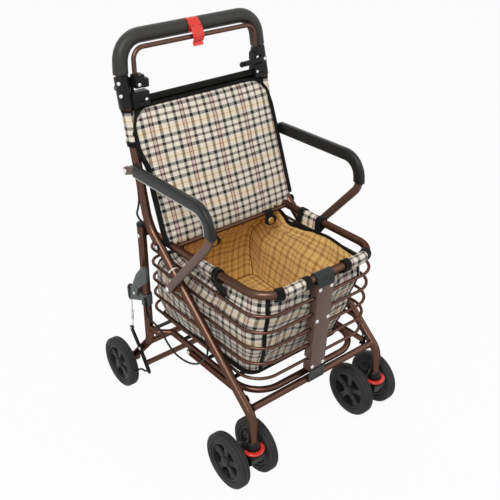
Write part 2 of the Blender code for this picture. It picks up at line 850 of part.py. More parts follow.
def build_parking_clip(paint):
    """The red clip: a ring on the bare middle of the handle with an arm over the brake bar."""
    ring_inner = TUBE_RADIUS + RUNNING
    ring_outer = FOAM_RADIUS - 0.0005
    half = CLIP_WIDTH / 2
    profile = [(-half, ring_inner), (-half, ring_outer), (half, ring_outer), (half, ring_inner)]
    clip = turned("parking_clip", profile, (0, HANDLE_Y, HANDLE_TOP), (1, 0, 0), 24, paint["red_plastic"])
    arm_line = [
        (HANDLE_Y - 0.002, HANDLE_TOP + 0.0162),
        (HANDLE_Y - 0.010, HANDLE_TOP + 0.0155),
        (HANDLE_Y - 0.0195, HANDLE_TOP + 0.0085),
        (HANDLE_Y - 0.0275, HANDLE_TOP - 0.003),
        (HANDLE_Y - 0.0325, HANDLE_TOP - 0.015),
        (HANDLE_Y - 0.0335, HANDLE_TOP - 0.026),
        (HANDLE_Y - 0.0305, HANDLE_TOP - 0.0325),
        (HANDLE_Y - 0.0345, HANDLE_TOP - 0.0400),
    ]
    path = [Vector((0, y, z)) for y, z in arm_line]
    section = [(-half, -CLIP_WALL / 2), (half, -CLIP_WALL / 2), (half, CLIP_WALL / 2), (-half, CLIP_WALL / 2)]
    arm = sweep("arm", path, section, (1, 0, 0), paint["red_plastic"])
    clip = join(clip, arm)
    clip.name = "parking_clip"


def build_back_band(paint):
    """The padded bar between the posts and the cloth sleeves that hold it on them."""
    ends = [(band_end(label), BRAKE_Y, BAND_Z) for label in SIDES]
    rod("back_band_bar", *ends, BAND_RADIUS, paint["black_cloth"], TUBE_SIDES)
    for label, side in SIDES.items():
        points = [post_point(side, BAND_SLEEVE_LOW), post_point(side, BAND_SLEEVE_HIGH)]
        path = [points[0].lerp(points[1], share) for share in (0, 0.12, 0.5, 1)]
        sweep(
            f"post_sleeve_{label}",
            path,
            circle(TUBE_RADIUS + TOUCH + BAND_CLOTH, TUBE_SIDES),
            (1, 0, 0),
            paint["plaid"],
            hollow=circle(TUBE_RADIUS + TOUCH, TUBE_SIDES),
        )


def armrest_path(side):
    """The line of one armrest from its upper bolt round to its lower bolt."""
    x = side * ARM_X
    corners = [
        ((x, ARM_REAR_Y, ARM_REAR_Z), 0),
        ((x, ARM_CREST_Y, ARM_CREST_Z), ARM_CREST_BEND),
        ((x, ARM_FRONT_Y, ARM_TOP_Z), ARM_BEND),
        ((x, ARM_KNEE_Y, ARM_KNEE_Z), ARM_BEND),
        ((x, ARM_FOOT_Y, ARM_FOOT_Z), 0),
    ]
    return rounded(corners)


def build_armrest(label, side, paint):
    """A flat-sided tube bolted to its ears, with a moulded grip over its upper part."""
    section = soft_box(ARM_THICK / 2, ARM_WIDE / 2, SMALL_SIDES, 0.6)
    path = armrest_path(side)
    start, end = path[0], path[-1]
    path[0] = start + (start - path[1]).normalized() * ARM_END
    path[-1] = end + (end - path[-2]).normalized() * ARM_END
    tube = sweep(f"armrest_tube_{label}", path, section, (1, 0, 0), paint["brown_paint"])
    for middle in (start, end):
        spot = (side * (ARM_X + ARM_THICK / 2), middle.y, middle.z)
        tube = join(tube, dome_head("head", spot, (side, 0, 0), BOLT_RADIUS, 0.0026, paint["zinc"], 12))
    tube.name = f"armrest_tube_{label}"
    run = stretch(armrest_path(side), (1, GRIP_START_Y), (2, GRIP_END_Z))
    outer = soft_box(GRIP_THICK / 2, GRIP_WIDE / 2, SMALL_SIDES, 0.6)
    hollow = soft_box(ARM_THICK / 2 + TOUCH, ARM_WIDE / 2 + TOUCH, SMALL_SIDES, 0.6)
    sweep(f"armrest_grip_{label}", run, outer, (1, 0, 0), paint["foam"], hollow=hollow)


def build_castor(label, side, paint):
    """One castor: collar on the stem, fork body, axle, red swivel lock and two wheels."""
    x = side * CASTOR_X
    collar_top = STEM_BOTTOM + 0.012
    inner = (TUBE_RADIUS + TOUCH) / math.cos(math.pi / TUBE_SIDES)
    collar = turned(
        f"castor_collar_{label}",
        [
            (collar_top, inner),
            (collar_top, inner + 0.002),
            (collar_top - 0.004, COLLAR_RADIUS),
            (STEM_BOTTOM - COLLAR_DEPTH, COLLAR_RADIUS),
            (STEM_BOTTOM - COLLAR_DEPTH, AXLE_RADIUS + RUNNING),
            (STEM_BOTTOM - TOUCH, AXLE_RADIUS + RUNNING),
            (STEM_BOTTOM - TOUCH, inner),
        ],
        (x, STEM_Y, 0),
        (0, 0, 1),
        TUBE_SIDES,
        paint["black_plastic"],
    )
    collar.name = f"castor_collar_{label}"
    fork_top = STEM_BOTTOM - COLLAR_DEPTH - TOUCH
    axle_y = STEM_Y + CASTOR_TRAIL
    body_top = fork_top - NECK_DEPTH
    outline = [
        (STEM_Y - 0.019, body_top),
        (STEM_Y - 0.022, body_top - 0.004),
        (STEM_Y - 0.020, WHEEL_RADIUS + 0.012),
        (axle_y - 0.022, WHEEL_RADIUS - 0.018),
        (axle_y - 0.008, WHEEL_RADIUS - 0.024),
        (axle_y + 0.010, WHEEL_RADIUS - 0.022),
        (axle_y + 0.020, WHEEL_RADIUS - 0.008),
        (axle_y + 0.020, WHEEL_RADIUS + 0.012),
        (STEM_Y + 0.036, body_top - 0.006),
        (STEM_Y + 0.026, body_top),
    ]
    fork = plate(
        f"castor_fork_{label}", outline, (x, 0, 0), (0, 1, 0), (0, 0, 1), FORK_WIDTH, paint["black_plastic"]
    )
    hollow_outline = [
        (axle_y - 0.014, WHEEL_RADIUS - 0.040),
        (axle_y + 0.012, WHEEL_RADIUS - 0.040),
        (axle_y + 0.012, WHEEL_RADIUS + 0.018),
        (axle_y - 0.014, WHEEL_RADIUS + 0.014),
    ]
    hollow = plate(
        "hollow", hollow_outline, (x, 0, 0), (0, 1, 0), (0, 0, 1), FORK_WIDTH - 0.012, paint["black_plastic"]
    )
    fork = cut(fork, hollow)
    reach = FORK_WIDTH
    bore = rod(
        "bore",
        (x - reach, axle_y, WHEEL_RADIUS),
        (x + reach, axle_y, WHEEL_RADIUS),
        AXLE_RADIUS + TOUCH,
        paint["black_plastic"],
        12,
    )
    fork = cut(fork, bore)
    pin_top = STEM_BOTTOM - 0.002
    neck = rod(
        "neck",
        (x, STEM_Y, body_top - 0.003),
        (x, STEM_Y, fork_top),
        NECK_RADIUS,
        paint["black_plastic"],
        TUBE_SIDES,
    )
    pin = rod("pin", (x, STEM_Y, fork_top - 0.003), (x, STEM_Y, pin_top), AXLE_RADIUS, paint["zinc"])
    fork = join(fork, neck, pin)
    fork.name = f"castor_fork_{label}"
    half = TWIN_OFFSET + HUB_WIDTH / 2 - HUB_CAP - TOUCH
    rod(
        f"castor_axle_{label}",
        (x - half, axle_y, WHEEL_RADIUS),
        (x + half, axle_y, WHEEL_RADIUS),
        AXLE_RADIUS,
        paint["zinc"],
    )
    build_swivel_lock(label, x, fork_top, paint)
    for place, shift in (("outer", side * TWIN_OFFSET), ("inner", -side * TWIN_OFFSET)):
        outward = math.copysign(1.0, shift)
        build_wheel(f"castor_{place}_{label}", (x + shift, axle_y, WHEEL_RADIUS), outward, paint)


def build_swivel_lock(label, x, fork_top, paint):
    """The red crescent round the front of the fork's neck that locks the swivel."""
    outline = []
    for step in range(LOCK_STEPS + 1):
        angle = math.pi * (1 + step / LOCK_STEPS)
        bulge = LOCK_OUTER + LOCK_LIP
        outline.append((LOCK_OUTER * math.cos(angle), bulge * math.sin(angle)))
    for step in range(LOCK_STEPS, -1, -1):
        angle = math.pi * (1 + step / LOCK_STEPS)
        outline.append((LOCK_INNER * math.cos(angle), LOCK_INNER * math.sin(angle)))
    middle = Vector((x, STEM_Y, fork_top - RUNNING - LOCK_THICKNESS / 2))
    lock = plate(
        f"swivel_lock_{label}", outline, middle, (1, 0, 0), (0, 1, 0), LOCK_THICKNESS, paint["red_plastic"]
    )
    lock.name = f"swivel_lock_{label}"


def build_wheel(name, centre, outward, paint):
    """A tyre with two tread grooves on a five-spoked hub."""
    flats = math.cos(math.pi / WHEEL_SIDES)
    half = TYRE_WIDTH / 2
    seat = WHEEL_RADIUS - TYRE_DEPTH
    tread = [
        (1.0, seat + TOUCH),
        (1.0, WHEEL_RADIUS - SHOULDER),
        (0.55, WHEEL_RADIUS),
        (0.42, WHEEL_RADIUS - GROOVE),
        (0.29, WHEEL_RADIUS),
    ]
    profile = [(-half * share, radius / flats) for share, radius in tread]
    profile += [(half * share, radius / flats) for share, radius in reversed(tread)]
    turned(f"{name}_tyre", profile, centre, (outward, 0, 0), WHEEL_SIDES, paint["tyre"])
    rim_inner = seat - HUB_RIM
    wide = HUB_WIDTH / 2
    rim_profile = [(-wide, seat), (wide, seat), (wide, rim_inner), (-wide, rim_inner)]
    hub = turned(f"{name}_hub", rim_profile, centre, (outward, 0, 0), WHEEL_SIDES, paint["hub"])
    for index in range(SPOKES):
        hub = join(hub, hub_spoke(centre, 2 * math.pi * index / SPOKES, rim_inner, paint))
    boss_profile = [(-wide, 0), (-wide, HUB_BOSS_RADIUS), (wide - 0.001, HUB_BOSS_RADIUS)]
    boss_profile += [(wide + 0.001, HUB_BOSS_RADIUS * 0.75), (wide + 0.001, 0)]
    boss = turned("boss", boss_profile, centre, (outward, 0, 0), SMALL_SIDES, paint["hub"])
    middle = Vector(centre)
    inside = middle - Vector((outward * TYRE_WIDTH, 0, 0))
    blind = middle + Vector((outward * (wide - HUB_CAP), 0, 0))
    bore = rod("bore", inside, blind, (AXLE_RADIUS + TOUCH) / math.cos(math.pi / BOLT_SIDES), paint["hub"])
    hub = cut(join(hub, boss), bore)
    hub.name = f"{name}_hub"


def hub_spoke(centre, angle, rim_inner, paint):
    """One flat spoke, wider at the rim than at the boss."""
    out = Vector((0, math.sin(angle), math.cos(angle)))
    across = Vector((0, math.cos(angle), -math.sin(angle)))
    root = HUB_BOSS_RADIUS * 0.7
    tip = rim_inner + HUB_RIM * 0.4
    outline = [(-SPOKE_ROOT / 2, root), (SPOKE_ROOT / 2, root), (SPOKE_TIP / 2, tip), (-SPOKE_TIP / 2, tip)]
    return plate("spoke", outline, centre, across, out, HUB_WEB, paint["hub"])


def build_rear_frame(paint):
    """Both rear legs with their axle ends, joined by the lower cross bar."""
    frame = None
    for side in SIDES.values():
        x = side * LEG_X
        corners = [
            ((x, LEG_Y, LEG_TOP), 0),
            ((x, LEG_Y, LEG_BEND_Z), LEG_BEND),
            ((x, REAR_AXLE_Y, WHEEL_RADIUS), 0),
        ]
        path = rounded(corners)
        leg = sweep("leg", path, circle(TUBE_RADIUS, 12), (1, 0, 0), paint["brown_paint"])
        boss_profile = [(-LEG_BOSS_HALF, 0), (-LEG_BOSS_HALF, LEG_BOSS_RADIUS)]
        boss_profile += [(LEG_BOSS_HALF, LEG_BOSS_RADIUS), (LEG_BOSS_HALF, 0)]
        spot = (x, REAR_AXLE_Y, WHEEL_RADIUS)
        boss = turned("boss", boss_profile, spot, (side, 0, 0), 14, paint["brown_paint"])
        axle_end = REAR_WHEEL_X + HUB_WIDTH / 2 - HUB_CAP - TOUCH
        axle = rod(
            "axle",
            (x, REAR_AXLE_Y, WHEEL_RADIUS),
            (side * axle_end, REAR_AXLE_Y, WHEEL_RADIUS),
            AXLE_RADIUS,
            paint["zinc"],
        )
        collar = rod(
            "collar",
            (x, REAR_AXLE_Y, WHEEL_RADIUS),
            (side * (REAR_WHEEL_X - HUB_WIDTH / 2 - RUNNING), REAR_AXLE_Y, WHEEL_RADIUS),
            AXLE_COLLAR_RADIUS,
            paint["black_plastic"],
        )
        cap_profile = [(LEG_TOP - 0.004, 0), (LEG_TOP - 0.004, LEG_CAP_RADIUS)]
        cap_profile += [(LEG_TOP + 0.002, LEG_CAP_RADIUS), (LEG_TOP + 0.004, LEG_CAP_TOP_RADIUS)]
        cap_profile.append((LEG_TOP + 0.004, 0))
        cap = turned("cap", cap_profile, (x, LEG_Y, 0), (0, 0, 1), 12, paint["black_plastic"])
        outer = x + side * (TUBE_RADIUS - 0.0006)
        head = dome_head("head", (outer, LEG_Y, RIM_REAR_Z), (side, 0, 0), 0.0052, 0.003, paint["zinc"])
        pivot_end = side * (YOKE_X - YOKE_THICK / 2 - TOUCH)
        pivot_start = (x, ARM_PIVOT_Y, ARM_PIVOT_Z)
        pivot_stop = (pivot_end, ARM_PIVOT_Y, ARM_PIVOT_Z)
        pivot = rod("pivot", pivot_start, pivot_stop, 0.006, paint["black_plastic"])
        leg = join(leg, boss, axle, collar, cap, head, pivot)
        frame = join(frame, leg) if frame else leg
    reach = LEG_X - TUBE_RADIUS + WELD_SINK
    bar_ends = [Vector((-reach, LEG_Y, LEG_BAR_Z)), Vector((reach, LEG_Y, LEG_BAR_Z))]
    section = soft_box(LEG_BAR_RADIUS, LEG_BAR_RADIUS * 0.7, 12, 0.6)
    bar = sweep("bar", bar_ends, section, (0, 0, 1), paint["brown_paint"])
    frame = join(frame, bar)
    frame.name = "rear_frame"
    for label, side in SIDES.items():
        centre = (side * REAR_WHEEL_X, REAR_AXLE_Y, WHEEL_RADIUS)
        build_wheel(f"rear_{label}", centre, side, paint)


def build_rim(paint):
    """The basket's upper tube, pinned to the main tubes and riveted to the legs."""
    corners = []
    for side in (-1, 1):
        rear = ((side * RIM_REAR_X, LEG_Y + 0.008, RIM_REAR_Z), 0)
        elbow = ((side * RIM_REAR_X, HINGE_BAR_Y, RIM_REAR_Z), 0)
        front = ((side * RIM_FRONT_X, RIM_FRONT_Y, RIM_FRONT_Z), RIM_BEND)
        corners += [rear, elbow, front] if side < 0 else [front, elbow, rear]
    section = circle(RIM_RADIUS, SMALL_SIDES)
    rim = sweep("basket_rim", rounded(corners), section, (0, 0, 1), paint["brown_paint"])
    for side in (-1, 1):
        inner_leg = LEG_X - TUBE_RADIUS - TOUCH
        start = (side * RIM_REAR_X, LEG_Y, RIM_REAR_Z)
        end = (side * inner_leg, LEG_Y, RIM_REAR_Z)
        rim = join(rim, rod("spacer", start, end, 0.006, paint["brown_paint"]))
        tube_inner = abs(slope_point(side, FOLD_Z).x) - TUBE_RADIUS - TOUCH
        start = (side * RIM_REAR_X, FOLD_Y, FOLD_Z)
        end = (side * tube_inner, FOLD_Y, FOLD_Z)
        rim = join(rim, rod("spacer", start, end, 0.006, paint["brown_paint"]))
    reach = RIM_REAR_X - RIM_RADIUS + WELD_SINK
    bar = rod(
        "bar",
        (-reach, HINGE_BAR_Y, RIM_REAR_Z),
        (reach, HINGE_BAR_Y, RIM_REAR_Z),
        HINGE_BAR_RADIUS,
        paint["brown_paint"],
        10,
    )
    rim = join(rim, bar, *hinge_lugs(paint))
    rim.name = "basket_rim"


def hinge_lugs(paint):
    """The ears on the cross bar whose pins carry the flap's knuckles."""
    lugs = []
    for side in (-1, 1):
        for near, far in (
            (KNUCKLE_INNER - TOUCH - LUG_THICK, KNUCKLE_INNER + PIN_REACH),
            (KNUCKLE_OUTER + TOUCH + LUG_THICK, KNUCKLE_OUTER - PIN_REACH),
        ):
            outward = math.copysign(1.0, far - near)
            outline = slot_outline((HINGE_BAR_Y, RIM_REAR_Z), (FLAP_Y, FLAP_Z), KNUCKLE_RADIUS, 3)
            middle = (side * (near + outward * LUG_THICK / 2), 0, 0)
            ear = plate("lug", outline, middle, (0, 1, 0), (0, 0, 1), LUG_THICK, paint["brown_paint"])
            start = (side * (near + outward * LUG_THICK / 2), FLAP_Y, FLAP_Z)
            end = (side * far, FLAP_Y, FLAP_Z)
            pin = rod("pin", start, end, KNUCKLE_BORE - TOUCH, paint["zinc"])
            lugs.append(join(ear, pin))
    return lugs


def build_wires(paint):
    """The closed loops of the basket's sides, one below the other."""
    for index in range(WIRE_COUNT):
        z = wire_z(index)
        front = wire_front(index)
        corners = [
            ((-WIRE_X, WIRE_REAR_Y, z), WIRE_REAR_BEND),
            ((-WIRE_X, front, z), WIRE_BEND),
            ((WIRE_X, front, z), WIRE_BEND),
            ((WIRE_X, WIRE_REAR_Y, z), WIRE_REAR_BEND),
        ]
        path = rounded(corners, closed=True)
        sweep(
            f"basket_wire_{index + 1}",
            path,
            circle(WIRE_RADIUS, WIRE_SIDES),
            (0, 0, 1),
            paint["brown_paint"],
            closed=True,
        )


def build_rail(paint):
    """The lower U of the basket with the floor slats welded on it."""
    rear = LEG_Y - TUBE_RADIUS - TOUCH
    corners = []
    for side in (-1, 1):
        tail = ((side * LEG_X, rear, RAIL_Z), 0)
        elbow = ((side * LEG_X, rear - 0.026, RAIL_Z), 0.012)
        inset = ((side * RAIL_X, rear - 0.052, RAIL_Z), 0.012)
        front = ((side * RAIL_X, RAIL_Y, RAIL_Z), RAIL_BEND)
        corners += [tail, elbow, inset, front] if side < 0 else [front, inset, elbow, tail]
    section = circle(RAIL_RADIUS, SMALL_SIDES)
    rail = sweep("basket_rail", rounded(corners), section, (0, 0, 1), paint["brown_paint"])
    for y in SLAT_YS:
        inset_y = rear - 0.052
        half = RAIL_X if y < inset_y else LEG_X
        half = half - RAIL_RADIUS + WELD_SINK
        low = (-half, y - SLAT_WIDE / 2, RAIL_Z - SLAT_THICK / 2)
        high = (half, y + SLAT_WIDE / 2, RAIL_Z + SLAT_THICK / 2)
        rail = join(rail, block("slat", low, high, paint["black_plastic"]))
    for side in (-1, 1):
        start = (side * RAIL_X, STAY_REAR_Y, RAIL_Z - 0.004)
        end = (side * (STAY_X - STAY_THICK / 2 - TOUCH), STAY_REAR_Y, RAIL_Z - 0.004)
        rail = join(rail, rod("boss", start, end, 0.005, paint["zinc"]))
    rail.name = "basket_rail"


def build_front_plate(paint):
    """The channel down the basket's front, with its rim hook and its lower catch."""
    lean = Vector((0, PLATE_BOTTOM_Y - PLATE_TOP_Y, PLATE_BOTTOM - PLATE_TOP)).normalized()
    half = PLATE_WIDE / 2
    section = [
        (-half, 0),
        (half, 0),
        (half, PLATE_DEEP),
        (half - PLATE_WALL, PLATE_DEEP),
        (half - PLATE_WALL, PLATE_WALL),
        (-half + PLATE_WALL, PLATE_WALL),
        (-half + PLATE_WALL, PLATE_DEEP),
        (-half, PLATE_DEEP),
    ]
    path = [Vector((PLATE_X, PLATE_TOP_Y, PLATE_TOP)), Vector((PLATE_X, PLATE_BOTTOM_Y, PLATE_BOTTOM))]
    shape = bmesh.new()
    rings = []
    back = Vector((0, 1, 0)) - lean * lean.y
    for point in path:
        rings.append([shape.verts.new(point + Vector((a, 0, 0)) + back * b) for a, b in section])
    bridge(shape, rings[0], rings[1])
    shape.faces.new(rings[0])
    shape.faces.new(rings[1])
    channel = finish_bmesh("front_plate", shape, paint["brown_paint"])
    for index in range(WIRE_COUNT):
        y, z = wire_front(index), wire_z(index)
        reach = PLATE_WIDE
        notch = block(
            "notch",
            (PLATE_X - reach, y - WIRE_RADIUS - TOUCH, z - WIRE_RADIUS - TOUCH),
            (PLATE_X + reach, y + PLATE_DEEP * 2, z + WIRE_RADIUS + TOUCH),
            paint["brown_paint"],
        )
        channel = cut(channel, notch)
    rivets = []
    for z in (PLATE_TOP - 0.012, PLATE_TOP - 0.098, PLATE_BOTTOM + 0.012):
        for x in (-0.35, 0.35):
            spot = (PLATE_X + PLATE_WIDE * x, plate_front(z), z)
            rivets.append(dome_head("head", spot, (0, -1, 0), 0.0042, 0.0022, paint["zinc"]))
    channel = join(channel, *rivets)
    channel.name = "front_plate"
    build_rim_hook(paint)
    build_rail_catch(paint)


def build_rim_hook(paint):
    """The grey hook that hangs the front plate on the rim."""
    wrap = RIM_RADIUS + TOUCH
    thick = 0.0024
    line = []
    for step in range(9):
        angle = math.radians(-20 + 25 * step)
        radius = wrap + thick / 2
        line.append((RIM_FRONT_Y + radius * math.cos(angle), RIM_FRONT_Z + radius * math.sin(angle)))
    line.append((PLATE_TOP_Y - 0.0003 + thick / 2, PLATE_TOP + 0.0022))
    path = [Vector((PLATE_X, y, z)) for y, z in line]
    half = PLATE_WIDE / 2 + 0.0015
    section = [(-half, -thick / 2), (half, -thick / 2), (half, thick / 2), (-half, thick / 2)]
    sweep("plate_hook", path, section, (1, 0, 0), paint["grey_plastic"])


def build_rail_catch(paint):
    """The grey lip under the front plate that drops over the front cross tube."""
    wrap = CROSS_RADIUS + TOUCH
    thick = 0.0026
    line = [(PLATE_BOTTOM_Y + 0.0013, PLATE_BOTTOM - TOUCH)]
    for step in range(6):
        angle = math.radians(150 + 14 * step)
        radius = wrap + thick / 2
        line.append((CROSS_Y + radius * math.cos(angle), CROSS_Z + radius * math.sin(angle)))
    path = [Vector((PLATE_X, y, z)) for y, z in line]
    half = PLATE_WIDE / 2 + 0.001
    section = [(-half, -thick / 2), (half, -thick / 2), (half, thick / 2), (-half, thick / 2)]
    sweep("plate_catch", path, section, (1, 0, 0), paint["grey_plastic"])


def build_stay(label, side, paint):
    """The flat bar under the rail and the black catch on the main tube that holds its end."""
    z_rear = RAIL_Z - 0.004
    z_front = RAIL_Z - 0.003
    outline = slot_outline((STAY_REAR_Y, z_rear), (STAY_FRONT_Y, z_front), STAY_WIDE / 2)
    x = side * STAY_X
    bar = plate(
        f"side_stay_{label}", outline, (x, 0, 0), (0, 1, 0), (0, 0, 1), STAY_THICK, paint["brown_paint"]
    )
    spot = (x + side * STAY_THICK / 2, STAY_REAR_Y, z_rear)
    bar = join(bar, dome_head("head", spot, (side, 0, 0), 0.0048, 0.0018, paint["zinc"]))
    bar.name = f"side_stay_{label}"
    build_stay_catch(label, side, z_front - STAY_WIDE / 2 - TOUCH, paint)


def build_stay_catch(label, side, seat_z, paint):
    """The black hook on a main tube's inner side that the stay bar rests in."""
    hold = slope_point(side, CATCH_Z)
    outer = side * (abs(hold.x) - TUBE_RADIUS - TOUCH)
    outline = slot_outline((hold.y, hold.z), (hold.y, seat_z - CATCH_LIP / 2), CATCH_WIDE / 2)
    middle = (outer - side * CATCH_WALL / 2, 0, 0)
    hook = plate("hook", outline, middle, (0, 1, 0), (0, 0, 1), CATCH_WALL, paint["black_plastic"])
    inner = side * (STAY_X - CATCH_LIP)
    low = (min(inner, outer), hold.y - CATCH_WIDE / 2, seat_z - CATCH_LIP)
    high = (max(inner, outer), hold.y + CATCH_WIDE / 2, seat_z)
    hook = join(hook, block("lip", low, high, paint["black_plastic"]))
    hook.name = f"stay_catch_{label}"


def build_flap(paint):
    """The padded seat flap with a crowned face and a piped edge."""
    rise = Vector((0, math.sin(FLAP_LEAN), math.cos(FLAP_LEAN)))
    face = Vector((0, -math.cos(FLAP_LEAN), math.sin(FLAP_LEAN)))
    hinge = Vector((0, FLAP_Y, FLAP_Z))
    columns, rows = 10, 10
    shape = bmesh.new()

    def half_width(along):
        """Half the flap's width at a share of its length, with round upper corners."""
        plain = FLAP_HALF_LOW + (FLAP_HALF_HIGH - FLAP_HALF_LOW) * along
        left = FLAP_LENGTH * (1 - along)
        if left < FLAP_CORNER:
            plain -= FLAP_CORNER - math.sqrt(FLAP_CORNER**2 - (FLAP_CORNER - left) ** 2)
        return plain

    def shares(count):
        """Shares from 0 to 1, closer together at both ends."""
        return [(1 - math.cos(math.pi * step / count)) / 2 for step in range(count + 1)]

    grid = {"front": [], "back": []}
    for along in shares(rows):
        for label, sign in (("front", 1), ("back", -1)):
            line = []
            for across in shares(columns):
                a = 2 * across - 1
                b = 2 * along - 1
                swell = (1 - a**4) * (1 - b**4)
                edge = min(1.0, 3.5 * min(1 - abs(a), 1 - abs(b)))
                crown = FLAP_CROWN * 0.5 * swell * (1 if sign > 0 else 0.8)
                thick = FLAP_THICK * (0.30 + 0.20 * edge) + crown
                middle = FLAP_SEAT - FLAP_THICK / 2 - FLAP_CROWN * 0.5
                point = hinge + rise * (FLAP_START + FLAP_LENGTH * along) + face * (middle + sign * thick)
                line.append(shape.verts.new(point + Vector((a * half_width(along), 0, 0))))
            grid[label].append(line)
    for lines in grid.values():
        for one, two in zip(lines, lines[1:]):
            for step in range(columns):
                shape.faces.new((one[step], one[step + 1], two[step + 1], two[step]))
    front, back = grid["front"], grid["back"]
    for column in (0, columns):
        edge = [line[column] for line in front]
        under = [line[column] for line in back]
        for row in range(rows):
            shape.faces.new((edge[row], edge[row + 1], under[row + 1], under[row]))
    for row in (0, rows):
        edge, under = front[row], back[row]
        for column in range(columns):
            shape.faces.new((edge[column], edge[column + 1], under[column + 1], under[column]))
    flap = finish_bmesh("seat_flap", shape, paint["plaid"])
    for side in (-1, 1):
        middle = side * (KNUCKLE_INNER + KNUCKLE_OUTER) / 2
        strap = []
        for along, depth in ((0, 0), (0, -0.0028), (0.010, -0.018), (0.016, -0.018), (0.016, -0.011)):
            point = rise * along + face * depth
            strap.append((point.y, point.z))
        width = KNUCKLE_OUTER - KNUCKLE_INNER
        place = (middle, FLAP_Y, FLAP_Z)
        web = plate("strap", strap, place, (0, 1, 0), (0, 0, 1), width, paint["black_plastic"])
        ends = [(side * x, FLAP_Y, FLAP_Z) for x in (KNUCKLE_INNER, KNUCKLE_OUTER)]
        barrel = rod("barrel", *ends, KNUCKLE_RADIUS, paint["black_plastic"], SMALL_SIDES)
        beyond = [(side * x, FLAP_Y, FLAP_Z) for x in (KNUCKLE_INNER - RUNNING, KNUCKLE_OUTER + RUNNING)]
        bore = rod("bore", *beyond, KNUCKLE_BORE, paint["black_plastic"], SMALL_SIDES)
        flap = join(flap, cut(join(barrel, web), bore))
    flap.name = "seat_flap"


def bag_ring(shape, half_x, front, rear, z, corner):
    """One level of the bag: a rectangle with round corners, each of the same few steps."""
    middles = (
        (half_x - corner, rear - corner),
        (corner - half_x, rear - corner),
        (corner - half_x, front + corner),
        (half_x - corner, front + corner),
    )
    ring = []
    for quarter, (x, y) in enumerate(middles):
        for step in range(BAG_CORNER_STEPS + 1):
            angle = math.pi / 2 * (quarter + step / BAG_CORNER_STEPS)
            ring.append(shape.verts.new((x + corner * math.cos(angle), y + corner * math.sin(angle), z)))
    return ring


def build_bag(paint):
    """The cloth bag hung in the basket: open at the top, with loops round the rim."""
    shape = bmesh.new()
    levels = 3
    outer, inner = [], []
    for step in range(levels):
        share = step / (levels - 1)
        half_x = BAG_TOP_X + (BAG_BOTTOM_X - BAG_TOP_X) * share
        front = BAG_TOP_FRONT + (BAG_BOTTOM_FRONT - BAG_TOP_FRONT) * share
        rear = BAG_TOP_REAR + (BAG_BOTTOM_REAR - BAG_TOP_REAR) * share
        z = BAG_TOP_Z + (BAG_BOTTOM_Z - BAG_TOP_Z) * share
        corner = BAG_TOP_CORNER + (BAG_BOTTOM_CORNER - BAG_TOP_CORNER) * share
        outer.append(bag_ring(shape, half_x, front, rear, z, corner))
        floor = z + (BAG_WALL if step == levels - 1 else 0)
        wall = BAG_WALL
        inner.append(bag_ring(shape, half_x - wall, front + wall, rear - wall, floor, corner - wall))
    for one, two in zip(outer, outer[1:]):
        bridge(shape, one, two)
    for one, two in zip(inner, inner[1:]):
        bridge(shape, one, two)
    bridge(shape, outer[0], inner[0])
    shape.faces.new(outer[-1])
    shape.faces.new(inner[-1])
    bag = finish_bmesh("bag", shape, paint["plaid"])
    tube = RIM_RADIUS + TOUCH
    for side, near_y, far_y in SIDE_LOOPS:
        near = Vector((side * rim_x(near_y), near_y, rim_z(near_y)))
        far = Vector((side * rim_x(far_y), far_y, rim_z(far_y)))
        inner = side * (BAG_TOP_X - BAG_WALL * 0.7)
        seat = side * (tube + LOOP_CLOTH * 0.3)
        outline = [(inner, near_y), (near.x - seat, near_y), (far.x - seat, far_y), (inner, far_y)]
        bag = join(bag, rim_loop(near, far, tube, paint), loop_web(outline, near.z, paint))
    for low_x, high_x in FRONT_LOOPS:
        near = Vector((low_x, RIM_FRONT_Y, RIM_FRONT_Z))
        far = Vector((high_x, RIM_FRONT_Y, RIM_FRONT_Z))
        inner = BAG_TOP_FRONT + BAG_WALL * 0.7
        seat = RIM_FRONT_Y + tube + LOOP_CLOTH * 0.3
        outline = [(low_x, inner), (low_x, seat), (high_x, seat), (high_x, inner)]
        bag = join(bag, rim_loop(near, far, tube, paint), loop_web(outline, near.z - LOOP_WEB, paint))
    bag.name = "bag"


def loop_web(outline, z, paint):
    """The flat stretch of cloth from the bag's upper edge to a loop."""
    return plate("web", outline, (0, 0, z), (1, 0, 0), (0, 1, 0), LOOP_WEB, paint["plaid"])


def rim_loop(start, end, tube, paint):
    """A sleeve of cloth round a straight length of the rim."""
    section = circle(tube + LOOP_CLOTH, SMALL_SIDES)
    return sweep("loop", [start, end], section, (0, 0, 1), paint["plaid"], hollow=circle(tube, SMALL_SIDES))


